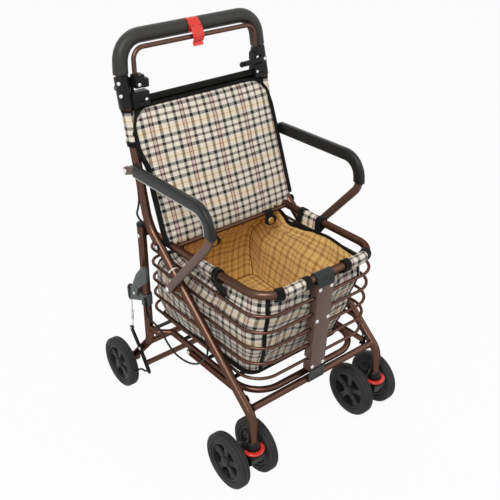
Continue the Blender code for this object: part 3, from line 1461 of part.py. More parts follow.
def build_brake_yoke(paint):
    """The two brake arms, their cross bar and the shoes in front of the rear tyres."""
    yoke = None
    for side in SIDES.values():
        x = side * YOKE_X
        upper = slot_outline((ARM_PIVOT_Y, ARM_PIVOT_Z), (YOKE_TOP_Y, YOKE_TOP_Z), 0.0065)
        lower = slot_outline((ARM_PIVOT_Y, ARM_PIVOT_Z), (YOKE_BOTTOM_Y, YOKE_BOTTOM_Z), 0.0075)
        arm = plate("arm", upper, (x, 0, 0), (0, 1, 0), (0, 0, 1), YOKE_THICK, paint["black_plastic"])
        leg_thick = YOKE_THICK * 0.98
        leg = plate("leg", lower, (x, 0, 0), (0, 1, 0), (0, 0, 1), leg_thick, paint["black_plastic"])
        arm = join(arm, leg)
        tip = side * (REAR_WHEEL_X + TYRE_WIDTH / 2 - 0.003)
        shoe_path = rounded(
            [
                ((x, YOKE_BOTTOM_Y + 0.002, YOKE_BOTTOM_Z), 0),
                ((side * (YOKE_X + 0.008), YOKE_BOTTOM_Y + 0.006, SHOE_Z), 0.006),
                ((side * (REAR_WHEEL_X - TYRE_WIDTH / 2), SHOE_Y, SHOE_Z), 0.008),
                ((tip, SHOE_Y, SHOE_Z), 0),
            ]
        )
        shoe = sweep("shoe", shoe_path, circle(SHOE_RADIUS, 8), (0, 0, 1), paint["black_plastic"])
        arm = join(arm, shoe)
        yoke = join(yoke, arm) if yoke else arm
    ends = [Vector((side * YOKE_X, YOKE_BAR_Y, YOKE_BAR_Z)) for side in (-1, 1)]
    section = soft_box(0.0075, 0.0045, 12, 0.6)
    bar = sweep("bar", ends, section, (0, 0, 1), paint["brown_paint"])
    yoke = join(yoke, bar)
    yoke.name = "brake_yoke"


def build_parking_brake(paint):
    """The bracket, knob and paddle on the left leg, and the rod that pulls the yoke."""
    x = -LEG_X
    rear_face = LEG_Y + TUBE_RADIUS + TOUCH
    cheeks = [
        (rear_face, PARK_Z + 0.016),
        (rear_face + 0.022, PARK_Z + 0.020),
        (KNOB_Y + 0.010, PARK_Z - 0.002),
        (KNOB_Y + 0.008, PARK_Z - 0.030),
        (KNOB_Y - 0.012, PARK_Z - 0.026),
        (rear_face + 0.012, PARK_Z - 0.024),
        (rear_face, PARK_Z - 0.012),
    ]
    bracket = plate("park_bracket", cheeks, (x, 0, 0), (0, 1, 0), (0, 0, 1), 0.010, paint["grey_plastic"])
    wrap_profile = [
        (-0.016, TUBE_RADIUS + TOUCH),
        (-0.016, TUBE_RADIUS + 0.0028),
        (0.016, TUBE_RADIUS + 0.0028),
        (0.016, TUBE_RADIUS + TOUCH),
    ]
    wrap = turned("wrap", wrap_profile, (x, LEG_Y, PARK_Z), (0, 0, 1), 16, paint["grey_plastic"])
    knob_profile = [
        (-KNOB_DROP, 0),
        (-KNOB_DROP, 0.0068),
        (0.012, 0.0082),
        (0.018, 0.0066),
        (0.020, 0),
    ]
    knob = turned("knob", knob_profile, (x, KNOB_Y, KNOB_Z), (0, 0, 1), 14, paint["black_plastic"])
    bracket = join(bracket, wrap, knob)
    ferrule = [Vector(CABLE_POINTS[-1]) + Vector((0, 0, TOUCH + rise)) for rise in (0, FERRULE_LENGTH)]
    bracket = join(bracket, rod("ferrule", *ferrule, FERRULE_RADIUS, paint["black_plastic"]))
    boss_end = x - 0.010
    boss_root = (x, PARK_PIVOT_Y, PARK_PIVOT_Z - 0.006)
    boss_tip = (boss_end, PARK_PIVOT_Y, PARK_PIVOT_Z - 0.006)
    boss = rod("boss", boss_root, boss_tip, 0.005, paint["grey_plastic"])
    bracket = join(bracket, boss)
    bracket.name = "park_bracket"
    paddle_x = boss_end - TOUCH - 0.004
    outline = [
        (PARK_PIVOT_Y - 0.006, PARK_PIVOT_Z - 0.014),
        (PARK_PIVOT_Y + 0.012, PARK_PIVOT_Z - 0.012),
        (PARK_PIVOT_Y + 0.036, PARK_PIVOT_Z + 0.012),
        (PARK_PIVOT_Y + 0.030, PARK_PIVOT_Z + 0.022),
        (PARK_PIVOT_Y - 0.004, PARK_PIVOT_Z + 0.070),
        (PARK_PIVOT_Y - 0.014, PARK_PIVOT_Z + 0.066),
        (PARK_PIVOT_Y - 0.016, PARK_PIVOT_Z + 0.040),
        (PARK_PIVOT_Y - 0.014, PARK_PIVOT_Z - 0.006),
    ]
    place = (paddle_x, 0, 0)
    paddle = plate("park_lever", outline, place, (0, 1, 0), (0, 0, 1), 0.008, paint["grey_plastic"])
    head_at = (paddle_x - 0.004, PARK_PIVOT_Y, PARK_PIVOT_Z - 0.006)
    paddle = join(paddle, dome_head("head", head_at, (-1, 0, 0), 0.004, 0.0018, paint["zinc"]))
    paddle.name = "park_lever"


def build_pull_rod(paint):
    """The steel pull rod between the left brake arm and the bracket's guide."""
    top = Vector((-LEG_X, KNOB_Y, KNOB_Z - KNOB_DROP - TOUCH))
    foot = Vector((-(YOKE_X - YOKE_THICK / 2 - 0.0022), YOKE_TOP_Y, YOKE_TOP_Z + 0.001))
    path = rounded([(top, 0), (top - Vector((0, 0, 0.020)), 0.01), (foot, 0)])
    pull = sweep("pull_rod", path, circle(ROD_RADIUS, 8), (1, 0, 0), paint["zinc"])
    eye = rod("eye", foot + Vector((0.002, 0, 0)), foot - Vector((0.0019, 0, 0)), 0.0045, paint["zinc"])
    pull = join(pull, eye)
    pull.name = "pull_rod"


def smooth_route(points, spacing):
    """Points at an even spacing along a smooth curve through the given ones."""
    route = [Vector(point) for point in points]
    route = [route[0] * 2 - route[1]] + route + [route[-1] * 2 - route[-2]]
    fine = []
    steps = 12
    for index in range(1, len(route) - 2):
        p0, p1, p2, p3 = route[index - 1 : index + 3]
        for step in range(steps):
            t = step / steps
            fine.append(
                0.5
                * (
                    2 * p1
                    + (p2 - p0) * t
                    + (2 * p0 - 5 * p1 + 4 * p2 - p3) * t * t
                    + (3 * p1 - p0 - 3 * p2 + p3) * t**3
                )
            )
    fine.append(route[-2])
    length = sum((b - a).length for a, b in zip(fine, fine[1:]))
    count = max(2, round(length / spacing))
    even = [fine[0]]
    walked, wanted = 0.0, length / count
    for a, b in zip(fine, fine[1:]):
        piece = (b - a).length
        while walked + piece >= wanted - 1e-9 and len(even) < count:
            even.append(a.lerp(b, (wanted - walked) / piece))
            wanted += length / count
        walked += piece
    even.append(fine[-1])
    return even


CABLE_TOP_DROP = 0.007
CABLE_ALONG_POST = (
    (1.0, 0.0183, -0.0012),
    (0.917, 0.0179, -0.0013),
    (0.774, 0.0167, -0.0014),
    (0.511, 0.0165, -0.0013),
    (0.248, 0.0157, -0.0012),
    (0.0, 0.0152, -0.0010),
)


def cable_along_post():
    """The cable behind the left post: each place's height share, gap behind it and shift out."""
    span = SLEEVE_LOW - CABLE_TOP_DROP - ARM_REAR_Z
    places = []
    for share, behind, out in CABLE_ALONG_POST:
        axis = post_point(-1, ARM_REAR_Z + span * share)
        places.append((axis.x + out, axis.y + behind, axis.z))
    return places


CABLE_POINTS = [
    *cable_along_post(),
    (-0.2008, 0.1512, 0.6200),
    (-0.2030, 0.1452, 0.5850),
    (-0.2045, 0.1500, 0.5600),
    (-0.2050, 0.1560, 0.5430),
    (-0.2043, 0.1460, 0.5305),
    (-0.2025, 0.1230, 0.5215),
    (-0.2010, 0.1004, 0.4970),
    (-0.2010, 0.0598, 0.4638),
    (-0.2010, 0.0018, 0.4148),
    (-0.2010, -0.0592, 0.3628),
    (-0.2010, -0.1030, 0.3200),
    (-0.2000, -0.1080, 0.2830),
    (-0.2000, -0.0940, 0.2560),
    (-0.2000, -0.0700, 0.2280),
    (-0.2000, -0.0390, 0.2090),
    (-0.2000, -0.0020, 0.1985),
    (-0.2000, 0.0330, 0.1985),
    (-0.2000, 0.0620, 0.2100),
    (-0.2000, 0.0830, 0.2270),
    (-0.2020, 0.0990, 0.2400),
    (-0.2070, 0.1150, 0.2505),
    (-0.2120, 0.1280, 0.2600),
    (-0.2137, 0.1332, 0.2690),
    (-0.2137, 0.1338, 0.2770),
    (-0.2137, 0.1338, 0.2850),
    (-0.2137, 0.1338, 0.2927),
]


def build_cable(paint):
    """The brake cable from the left bracket, down the tube and round to the left leg."""
    route = smooth_route(CABLE_POINTS, 0.0150)
    curve = bpy.data.curves.new("brake_cable", "CURVE")
    curve.dimensions = "3D"
    curve.bevel_depth = CABLE_RADIUS
    curve.bevel_resolution = 2
    curve.render_resolution_u = 0
    curve.use_fill_caps = True
    spline = curve.splines.new("POLY")
    spline.points.add(len(route) - 1)
    for point, place in zip(spline.points, route):
        point.co = (*place, 1.0)
    item = bpy.data.objects.new("brake_cable", curve)
    bpy.context.scene.collection.objects.link(item)
    curve.materials.append(paint["black_plastic"])


def main():
    """Builds the whole walker."""
    clear_scene()
    paint = make_materials()
    build_main_frame(paint)
    build_handle(paint)
    for label, side in SIDES.items():
        build_bracket(label, side, paint)
        build_armrest(label, side, paint)
        build_castor(label, side, paint)
        build_stay(label, side, paint)
    build_release_lever(paint)
    build_brake_bar(paint)
    build_parking_clip(paint)
    build_back_band(paint)
    build_rear_frame(paint)
    build_rim(paint)
    build_wires(paint)
    build_rail(paint)
    build_front_plate(paint)
    build_flap(paint)
    build_bag(paint)
    build_brake_yoke(paint)
    build_parking_brake(paint)
    build_pull_rod(paint)
    build_cable(paint)


main()
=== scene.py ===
"""The looks of a folding shopping walker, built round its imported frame.

Metres, +Z up. The front faces -Y and "left" is the -X side. Tubes, wheels and wires are drawn
again from the sizes of their solids in finer steps. The bag, the rear ends of the wires and the
parking paddle follow the photograph more closely than their solids. Cloth, cable, rivets and trim
are added to them.
"""

import math

import bmesh
import bpy
from mathutils import Matrix, Vector, noise


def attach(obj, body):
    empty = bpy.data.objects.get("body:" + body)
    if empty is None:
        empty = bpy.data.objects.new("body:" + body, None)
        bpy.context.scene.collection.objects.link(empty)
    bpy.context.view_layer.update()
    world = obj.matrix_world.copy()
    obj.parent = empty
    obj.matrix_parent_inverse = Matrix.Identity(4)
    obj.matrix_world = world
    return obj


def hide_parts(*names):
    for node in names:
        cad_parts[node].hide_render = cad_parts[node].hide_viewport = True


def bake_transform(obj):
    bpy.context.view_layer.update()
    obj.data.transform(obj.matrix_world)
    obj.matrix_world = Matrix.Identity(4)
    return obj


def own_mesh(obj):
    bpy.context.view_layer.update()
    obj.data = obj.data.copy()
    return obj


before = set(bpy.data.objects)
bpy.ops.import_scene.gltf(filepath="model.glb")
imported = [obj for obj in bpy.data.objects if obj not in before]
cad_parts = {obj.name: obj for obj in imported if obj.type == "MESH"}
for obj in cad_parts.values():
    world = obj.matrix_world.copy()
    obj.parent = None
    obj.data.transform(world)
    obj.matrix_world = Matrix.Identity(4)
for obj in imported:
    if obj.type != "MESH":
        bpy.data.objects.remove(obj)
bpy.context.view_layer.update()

# Wheels
WHEEL_RADIUS = 0.07
TYRE_WIDTH = 0.027
TYRE_DEPTH = 0.019
HUB_WIDTH = 0.021
HUB_RIM = 0.0055
HUB_BOSS_RADIUS = 0.0125
SPOKES = 5
AXLE_RADIUS = 0.005
TYRE_WALL = [
    (0.86, 0.0002), (0.97, 0.0012), (1.0, 0.0038), (0.98, 0.0062), (0.93, 0.007), (0.96, 0.008),
    (0.985, 0.011), (0.94, 0.0142), (0.83, 0.017), (0.66, 0.0186),
]
TYRE_TREAD = [(0.48, 0), (0.435, 0.0004), (0.42, 0.0018), (0.33, 0.0018), (0.315, 0.0004), (0.27, 0)]
SPOKE_SECTION = [
    (-1, 0.55), (-0.82, 1.0), (0.82, 1.0), (1, 0.55), (1, -0.55), (0.82, -1.0), (-0.82, -1.0), (-1, -0.55)
]

# Castors
CASTOR_X = 0.2015
STEM_Y = -0.2767
CASTOR_TRAIL = 0.0386
TWIN_OFFSET = 0.042
STEM_BOTTOM = 0.127
COLLAR_LINE = [
    (0, 0.015), (0.0012, 0.0163), (0.005, 0.0166), (0.015, 0.0158), (0.0185, 0.014), (0.02, 0.0128),
    (0.0215, 0.0113),
]

# Main tubes
TUBE_RADIUS = 0.011
FRONT_BEND_Z = 0.198
TUBE_BEND = 0.045
WAIST_BEND = 0.11
WAIST_X = 0.2005
WAIST_Y = 0.1137
WAIST_Z = 0.528
POST_X = 0.197
POST_Y = 0.1939
POST_TOP = 0.869
POST_CUT = 0.838
CROSS_RADIUS = 0.0085
CROSS_Y = -0.2605
CROSS_Z = 0.2118

# Handle and brake bar
HANDLE_X = 0.19
HANDLE_Y = 0.2004
HANDLE_TOP = 0.9486
HANDLE_BEND = 0.055
FOAM_RADIUS = 0.0175
FOAM_SPLIT = 0.029
FOAM_START = 0.87
BRAKE_RADIUS = 0.0055
BRAKE_X = 0.1735
BRAKE_Y = 0.172
BRAKE_FOOT = 0.856
BRAKE_TOP = 0.9287
BRAKE_TOP_X = 0.1713
BRAKE_TOP_Y = 0.177
BRAKE_BEND = 0.027

# Brackets, lever and clip
SLEEVE_LOW = 0.797
SLEEVE_HIGH = 0.868
CLAMP_WALL = 0.182
CLAMP_HEADS = (0.8285, 0.8555)
CLAMP_GROW = (
    (0, 0.92), (0.012, 0.975), (0.035, 1.0), (0.35, 1.0), (0.65, 1.0), (0.965, 1.0), (0.988, 0.975),
    (1, 0.92),
)
BLOCK_REACH = {"left": 0.037, "right": 0.021}
LEVER_X = 0.188
LEVER_Y = 0.1557
LEVER_Z = 0.846
CLIP_HALF = 0.015
CLIP_LINE = [
    (-0.002, 0.0168, 0.0148, 0), (-0.01, 0.016, 0.0148, 0), (-0.0195, 0.0085, 0.0148, 0),
    (-0.0275, -0.003, 0.0154, 0), (-0.0325, -0.015, 0.0156, 0), (-0.0335, -0.026, 0.0148, 0),
    (-0.03, -0.0325, 0.014, -0.001), (-0.034, -0.04, 0.014, -0.002),
]

# Castor fork and lock
FORK_HALF = 0.022
FORK_MIDDLE = (STEM_Y + CASTOR_TRAIL - 0.006, 0.078)
NECK_LINE = [(0, 0.0205), (0.0035, 0.0185), (0.006, 0.0166), (0.0095, 0.016), (0.0104, 0.015)]
NECK_Z = 0.1006
COLLAR_Z = 0.1115
LOCK_Z = 0.1105
LOCK_INNER = 0.018
LOCK_DEEP = 0.0092
FORK_LINE = [
    (-0.2957, 0.1032), (-0.2995, 0.0985), (-0.299, 0.085), (-0.2755, 0.056), (-0.26, 0.044),
    (-0.24, 0.04), (-0.224, 0.047), (-0.2165, 0.06), (-0.215, 0.08), (-0.23, 0.096), (-0.2507, 0.1042),
]

# Back band
BAND_Z = 0.813
BAND_RADIUS = 0.0075
BAND_LOW = 0.718
BAND_HIGH = 0.7955
BAND_ENDS = (-0.157, 0.173)
BAND_HEM = ((0.1905, 0.79), (0.1895, 0.797), (0.187, 0.804), (0.1812, 0.812))

# Armrests
ARM_X = 0.2195
ARM_THICK = 0.011
ARM_WIDE = 0.02
ARM_REAR = (0.162, 0.657)
ARM_CREST = (0.134, 0.667)
ARM_FRONT = (-0.152, 0.671)
ARM_KNEE = (-0.16, 0.602)
ARM_FOOT = (0.011, 0.408)
ARM_BEND = 0.046
ARM_LINE = ((ARM_REAR, 0), (ARM_CREST, 0.06), (ARM_FRONT, ARM_BEND), (ARM_KNEE, ARM_BEND), (ARM_FOOT, 0))
GRIP_THICK = 0.017
GRIP_WIDE = 0.03
GRIP_START_Y = 0.126
GRIP_END_Z = 0.612

# Fold axis and rear frame
FOLD_Y = 0.067
FOLD_Z = 0.491
LEG_X = 0.202
LEG_Y = 0.1455
LEG_TOP = 0.519
LEG_BEND_Z = 0.176
REAR_AXLE_Y = 0.2381
REAR_WHEEL_X = 0.2408
LEG_BAR_Z = 0.172
ARM_PIVOT_Y = 0.1715
ARM_PIVOT_Z = 0.141
YOKE_X = 0.2185

# Basket
RIM_RADIUS = 0.0095
RIM_FRONT_X = 0.1709
RIM_REAR_X = 0.1775
RIM_FRONT_Y = -0.2742
RIM_FRONT_Z = 0.4974
RIM_REAR_Z = 0.489
RIM_END_Y = LEG_Y + 0.008
RIM_BEND = 0.062
STUB_RADIUS = 0.006
LUG_XS = (-0.1357, -0.1645, 0.1357, 0.1645)
HINGE_BAR_Y = 0.045
HINGE_BAR_RADIUS = 0.005
WIRE_COUNT = 5
WIRE_RADIUS = 0.00375
WIRE_TOP_Z = 0.449
WIRE_PITCH = 0.044
WIRE_X = 0.183
WIRE_TOP_Y = -0.277
WIRE_LOW_Y = -0.262
WIRE_REAR_Y = 0.16
WIRE_FRONT_BEND = 0.062
WIRE_REAR_BEND = 0.035
RAIL_RADIUS = 0.008
RAIL_X = 0.1709
RAIL_Y = -0.245
RAIL_Z = 0.221
RAIL_BEND = 0.072
RAIL_REAR = 0.1342
RAIL_STEP_Y = RAIL_REAR - 0.052
SLAT_HALF = 0.006
SLAT_LIFT = 0.0015
SLAT_YS = (0.127, 0.04, -0.06, -0.157)

# Front channel, stays and brake parts
PLATE_X = -0.004
PLATE_HALF = 0.024
PLATE_DEEP = 0.023
PLATE_TOP = 0.484
PLATE_TOP_Y = -0.2895
PLATE_LOW = 0.241
PLATE_LOW_Y = -0.2735
PLATE_RIVETS = (0.472, 0.386, 0.253)
HOOK_TAIL = [
    (-0.2862, 0.4915, 0.0255), (-0.2882, 0.4865, 0.0252), (-0.289, 0.4815, 0.0245), (-0.289, 0.479, 0.0235)
]
CATCH_ARM = [(-0.2746, 0.244), (-0.2742, 0.2405), (-0.2728, 0.234), (-0.2716, 0.227), (-0.2706, 0.219)]
STAY_X = 0.1845
STAY_PIVOT = (-0.007, 0.217)
STAY_FRONT = (-0.236, 0.218)
STAY_CATCH_Z = 0.2285
YOKE_TIP = (0.2085, 0.188)
YOKE_BAR = (0.1455, 0.108)
SHOE_ARM_Y = 0.1365
SHOE_Y = 0.1585
SHOE_Z = 0.087
SPRING_TURNS = 9
SPRING_RADIUS = 0.0034
SPRING_PITCH = 0.0034
PADDLE_PIVOT = (0.172, 0.316)
CHEEK_WIDE = 0.01
PADDLE_WIDE = 0.008
PADDLE_OUT = 0.0165
LEG_WRAP_Z = 0.306
KNOB_LINE = [
    (-0.019, 0.003), (-0.019, 0.006), (-0.0182, 0.0068), (0.001, 0.0074), (0.01, 0.0082), (0.0145, 0.008),
    (0.0178, 0.0066), (0.0198, 0.004),
]
KNOB_Y = 0.2245
KNOB_Z = 0.289
TIE_Z = 0.4475
PADDLE = [
    (0.165, 0.308), (0.181, 0.31), (0.183, 0.324), (0.174, 0.35), (0.156, 0.38), (0.13, 0.411),
    (0.122, 0.417), (0.113, 0.4165), (0.1065, 0.411), (0.1056, 0.402), (0.111, 0.374), (0.118, 0.366),
    (0.154, 0.34), (0.158, 0.318),
]
BRACKET_CHEEK = [
    (0.1568, 0.334), (0.164, 0.338), (0.185, 0.326), (0.22, 0.308), (0.2345, 0.298), (0.2335, 0.268),
    (0.226, 0.262), (0.2125, 0.272), (0.172, 0.288), (0.1568, 0.294),
]

# Seat flap
FLAP_Y = 0.046
FLAP_Z = 0.4975
FLAP_LEAN = math.radians(20.6)
FLAP_FOOT = -0.008
FLAP_REACH = 0.3225
FLAP_CORNER = 0.048
FLAP_MIDDLE = -0.015
FLAP_ROWS = 76
FLAP_COLUMNS = 80
FLAP_EDGE = 0.0062
FLAP_CROWN = 0.0054
PIPING_OUT = 0.0036
KNOT_AT = 0.268
RISE = Vector((0, math.sin(FLAP_LEAN), math.cos(FLAP_LEAN)))
FACE = Vector((0, -math.cos(FLAP_LEAN), math.sin(FLAP_LEAN)))
HINGE = Vector((0, FLAP_Y, FLAP_Z))
WARP_PAIR_X = 0.0222
WARP_TIGHT = 1.019
WEFT_GOLD_AT = 0.1945
WEFT_TIGHT = 0.958
FLAP_SIDES = {
    -1: [(-0.008, 0.181), (0.036, 0.1845), (0.12, 0.1835), (0.176, 0.18), (0.236, 0.1925), (0.282, 0.1915)],
    1: [(-0.008, 0.184), (0.004, 0.19), (0.02, 0.199), (0.245, 0.2), (0.285, 0.196)],
}

# Bag
BAG_SHAPE = {
    "half": [(0, 0.1595), (0.15, 0.168), (0.5, 0.168), (1, 0.156)],
    "front": [(0, -0.259), (0.15, -0.264), (0.5, -0.2446), (1, -0.214)],
    "rear": [(0, 0.0475), (0.08, 0.074), (0.2, 0.115), (0.38, 0.14), (0.7, 0.145), (1, 0.14)],
    "front_right": [(0, 0.1595), (0.15, 0.154), (0.5, 0.142), (0.75, 0.13), (1, 0.124)],
    "rear_left": [(0, 0.1595), (0.15, 0.169), (0.5, 0.174), (0.8, 0.17), (1, 0.16)],
    "rear_right": [(0, 0.1595), (0.15, 0.148), (0.5, 0.13), (1, 0.138)],
    "front_corner": [(0, 0.05), (0.15, 0.045), (1, 0.03)],
    "rear_corner": [(0, 0.014), (0.15, 0.018), (1, 0.018)],
}
BAG_STEPS = 30
FLOOR_STEPS = 13
BAG_FLOOR = ((-0.214, 0.262), (-0.1, 0.258), (0.05, 0.2485), (0.145, 0.25))
BAG_REAR_Z = 0.4835
BAG_SEAMS = ((4, 4), (35, 35), (67.4, 70.4), (95, 94.5))
RIGHT_EDGE = [
    (0.056, 0.48), (0.04, 0.468), (0.016, 0.453), (-0.026, 0.459), (-0.08, 0.468), (-0.125, 0.4726),
    (-0.2125, 0.464),
]
LEFT_EDGE = [(0.04, 0.478), (0.01, 0.47), (-0.04, 0.466), (-0.1, 0.47), (-0.15, 0.484), (-0.2, 0.489)]
FRONT_EDGE = [
    (-0.12, 0.489), (-0.1, 0.484), (-0.055, 0.482), (-0.02, 0.47), (0.04, 0.468), (0.076, 0.482),
    (0.11, 0.482), (0.13, 0.48),
]
SNAP_XS = (0.1095, -0.0705)
SNAP_LINE = [
    (0, 0.0088), (0.0012, 0.0088), (0.0024, 0.0077), (0.0026, 0.006), (0.0021, 0.005), (0.0023, 0.0026)
]
HANGING_BAND = [
    (-0.052, 0.493, 0.004), (-0.075, 0.486, 0.009), (-0.1, 0.474, 0.012), (-0.125, 0.463, 0.0165),
    (-0.143, 0.462, 0.0145), (-0.155, 0.463, 0.009),
]
LOOP_SPANS = (
    (1, -0.042, -0.128, False), (0, -0.134, -0.044, False), (0, 0.06, 0.143, False),
    (1, -0.01, -0.092, True),
)
LOOP_STEP = 0.008
LOOP_END = 0.0105

# Cloth and its check
CLOTH_THICK = 0.0016
SEAM_RADIUS = 0.0013
WARP_REPEAT = 0.0892
WEFT_REPEAT = 0.0637
THREAD = 0.0014

# Brake cable
CABLE_RADIUS = 0.0025
CABLE_POINTS = [
    (-0.199, 0.1936, 0.79), (-0.1992, 0.1906, 0.779), (-0.1995, 0.185, 0.76), (-0.1998, 0.1765, 0.725),
    (-0.2, 0.1675, 0.69), (-0.2002, 0.1592, 0.657), (-0.2008, 0.1512, 0.62), (-0.203, 0.1452, 0.585),
    (-0.2045, 0.15, 0.56), (-0.205, 0.156, 0.543), (-0.2043, 0.146, 0.5305), (-0.2025, 0.123, 0.5215),
    (-0.201, 0.1004, 0.497), (-0.201, 0.0598, 0.4638), (-0.201, 0.0018, 0.4148),
    (-0.201, -0.0592, 0.3628), (-0.201, -0.103, 0.32), (-0.2, -0.108, 0.283), (-0.2, -0.094, 0.256),
    (-0.2, -0.07, 0.228), (-0.2, -0.039, 0.209), (-0.2, -0.002, 0.1985), (-0.2, 0.033, 0.1985),
    (-0.2, 0.062, 0.21), (-0.2, 0.083, 0.227), (-0.202, 0.099, 0.24), (-0.207, 0.115, 0.2505),
    (-0.212, 0.128, 0.26), (-0.2137, 0.1332, 0.269), (-0.2137, 0.1338, 0.277), (-0.2137, 0.1338, 0.285),
    (-0.2137, 0.1338, 0.2927),
]

# Studio and camera
LAMP_AIM_Z = 0.45
LAMPS = (
    ("key", (-1.6, -1.2, 2.6), 1.4, 50.0),
    ("fill", (2.2, -1.8, 1.8), 2.0, 12.0),
    ("rim", (0.6, 2.4, 2.2), 1.6, 10.0),
)
CAMERA_PLACE = (-1.0577, -1.3178, 1.4065)
CAMERA_AZIMUTH = math.radians(-39.16)
CAMERA_ELEVATION = math.radians(29.83)
CAMERA_LENS = 56.96

SIDES = {"left": -1, "right": 1}
TAU = 2 * math.pi
GAP = 0.0003
TURN_STEP = math.radians(7)


# Paths and sections
def rounded(corners, closed=False):
    """A path through corners (point, bend radius), each corner replaced by a fine arc."""
    points = []
    count = len(corners)
    for index, (corner, radius) in enumerate(corners):
        here = Vector(corner)
        if radius == 0 or (not closed and index in (0, count - 1)):
            points.append(here)
            continue
        before = (Vector(corners[index - 1][0]) - here).normalized()
        after = (Vector(corners[(index + 1) % count][0]) - here).normalized()
        opening = before.angle(after)
        turn = math.pi - opening
        reach = radius / math.tan(opening / 2)
        centre = here + (before + after).normalized() * radius / math.sin(opening / 2)
        axis = before.cross(after).normalized()
        first = here + before * reach - centre
        steps = max(2, math.ceil(turn / TURN_STEP))
        for part in range(steps + 1):
            points.append(centre + Matrix.Rotation(-turn * part / steps, 3, axis) @ first)
    return points


def crossing(path, axis, value):
    """Where a path first meets a plane: the index of the next point, and the meeting point."""
    for index in range(1, len(path)):
        before, after = path[index - 1], path[index]
        if (before[axis] - value) * (after[axis] - value) <= 0 and before[axis] != after[axis]:
            share = (value - before[axis]) / (after[axis] - before[axis])
            return index, before.lerp(after, share)
    raise ValueError("the path does not meet the plane")


def stretch(path, first, last):
    """The stretch of a path between two planes, each given as an axis and a value."""
    start_index, start = crossing(path, *first)
    end_index, end = crossing(path, *last)
    return [start] + path[start_index:end_index] + [end]


def even(path, spacing):
    """The same path with points at an even spacing."""
    walked = [0.0]
    for a, b in zip(path, path[1:]):
        walked.append(walked[-1] + (b - a).length)
    parts = max(1, round(walked[-1] / spacing))
    made, index = [], 1
    for part in range(parts + 1):
        goal = walked[-1] * part / parts
        while index < len(path) - 1 and walked[index] < goal:
            index += 1
        share = (goal - walked[index - 1]) / max(1e-9, walked[index] - walked[index - 1])
        made.append(path[index - 1].lerp(path[index], share))
    return made


def eased(path, reach, scale):
    """A path and its scales with both ends rounded off over a reach."""
    lead, tail = (path[1] - path[0]).normalized(), (path[-2] - path[-1]).normalized()
    turns = [math.pi / 2 * n / 4 for n in range(5)]
    grow = [scale + (1 - scale) * math.sin(turn) for turn in turns]
    shift = [reach * (1 - math.cos(turn)) for turn in turns]
    inside = [p for p in path if min((p - path[0]).length, (p - path[-1]).length) > reach * 1.2]
    made = [path[0] + lead * s for s in shift] + inside + [path[-1] + tail * s for s in reversed(shift)]
    return made, grow + [1.0] * len(inside) + grow[::-1]


def smooth_route(points, parts=6):
    """A smooth curve through the given points."""
    route = [Vector(point) for point in points]
    route = [route[0] * 2 - route[1]] + route + [route[-1] * 2 - route[-2]]
    fine = []
    for index in range(1, len(route) - 2):
        p0, p1, p2, p3 = route[index - 1 : index + 3]
        for part in range(parts):
            t = part / parts
            bend = 2 * p1 + (p2 - p0) * t
            bend += (2 * p0 - 5 * p1 + 4 * p2 - p3) * t * t + (3 * p1 - p0 - 3 * p2 + p3) * t**3
            fine.append(bend / 2)
    fine.append(route[-2])
    return fine


def circle(radius, sides):
    """A round section."""
    return [(radius * math.cos(TAU * n / sides), radius * math.sin(TAU * n / sides)) for n in range(sides)]


def soft_box(half_a, half_b, sides, power):
    """A section with flat sides and round corners."""
    points = []
    for step in range(sides):
        angle = TAU * (step + 0.5) / sides
        across = math.copysign(abs(math.cos(angle)) ** power, math.cos(angle))
        along = math.copysign(abs(math.sin(angle)) ** power, math.sin(angle))
        points.append((half_a * across, half_b * along))
    return points


def arc(middle, radius, start, turn, steps):
    """Points on an arc in a plane, from an angle in degrees over a turn."""
    turns = [math.radians(start + turn * step / steps) for step in range(steps + 1)]
    return [(middle[0] + radius * math.cos(a), middle[1] + radius * math.sin(a)) for a in turns]


def spread(low, high, steps):
    """Evenly spaced values from one number to another, both included."""
    return [low + (high - low) * step / steps for step in range(steps + 1)]


def slot_outline(start, end, half_width, steps=10):
    """The outline of a bar with round ends between two points of a plane."""
    heading = math.degrees(math.atan2(end[1] - start[1], end[0] - start[0]))
    return arc(end, half_width, heading - 90, 180, steps) + arc(start, half_width, heading + 90, 180, steps)


def mirrored(profile):
    """A profile of (along, radius) given from an end to the middle, with its other half added."""
    return [(-along, radius) for along, radius in profile] + profile[::-1]


def both_sides(half):
    """The corners of a path, given from its middle to its right end, with the left side's before them."""
    return [((-x, y, z), bend) for (x, y, z), bend in reversed(half)] + half


def between(table, value):
    """A value read off a table of (place, value) with straight lines between its rows."""
    rows = sorted(table)
    if value <= rows[0][0]:
        return rows[0][1]
    for (low, first), (high, last) in zip(rows, rows[1:]):
        if value <= high:
            share = (value - low) / (high - low)
            share = share * share * (3 - 2 * share)
            return first + (last - first) * share
    return rows[-1][1]


def lump(x, y, z):
    """Smooth noise at a place, for the soft waves of cloth."""
    return noise.noise(Vector((x, y, z)))


def post_point(side, z):
    """A point on the axis of a post above the waist."""
    share = (z - WAIST_Z) / (POST_TOP - WAIST_Z)
    x = WAIST_X + (POST_X - WAIST_X) * share
    return Vector((side * x, WAIST_Y + (POST_Y - WAIST_Y) * share, z))


def slope_point(side, z):
    """A point on the axis of a main tube below the waist."""
    share = (z - FRONT_BEND_Z) / (WAIST_Z - FRONT_BEND_Z)
    x = CASTOR_X + (WAIST_X - CASTOR_X) * share
    return Vector((side * x, STEM_Y + (WAIST_Y - STEM_Y) * share, z))


# Meshes
def add_object(name, data):
    """Puts a new object into the scene."""
    item = bpy.data.objects.new(name, data)
    bpy.context.scene.collection.objects.link(item)
    return item


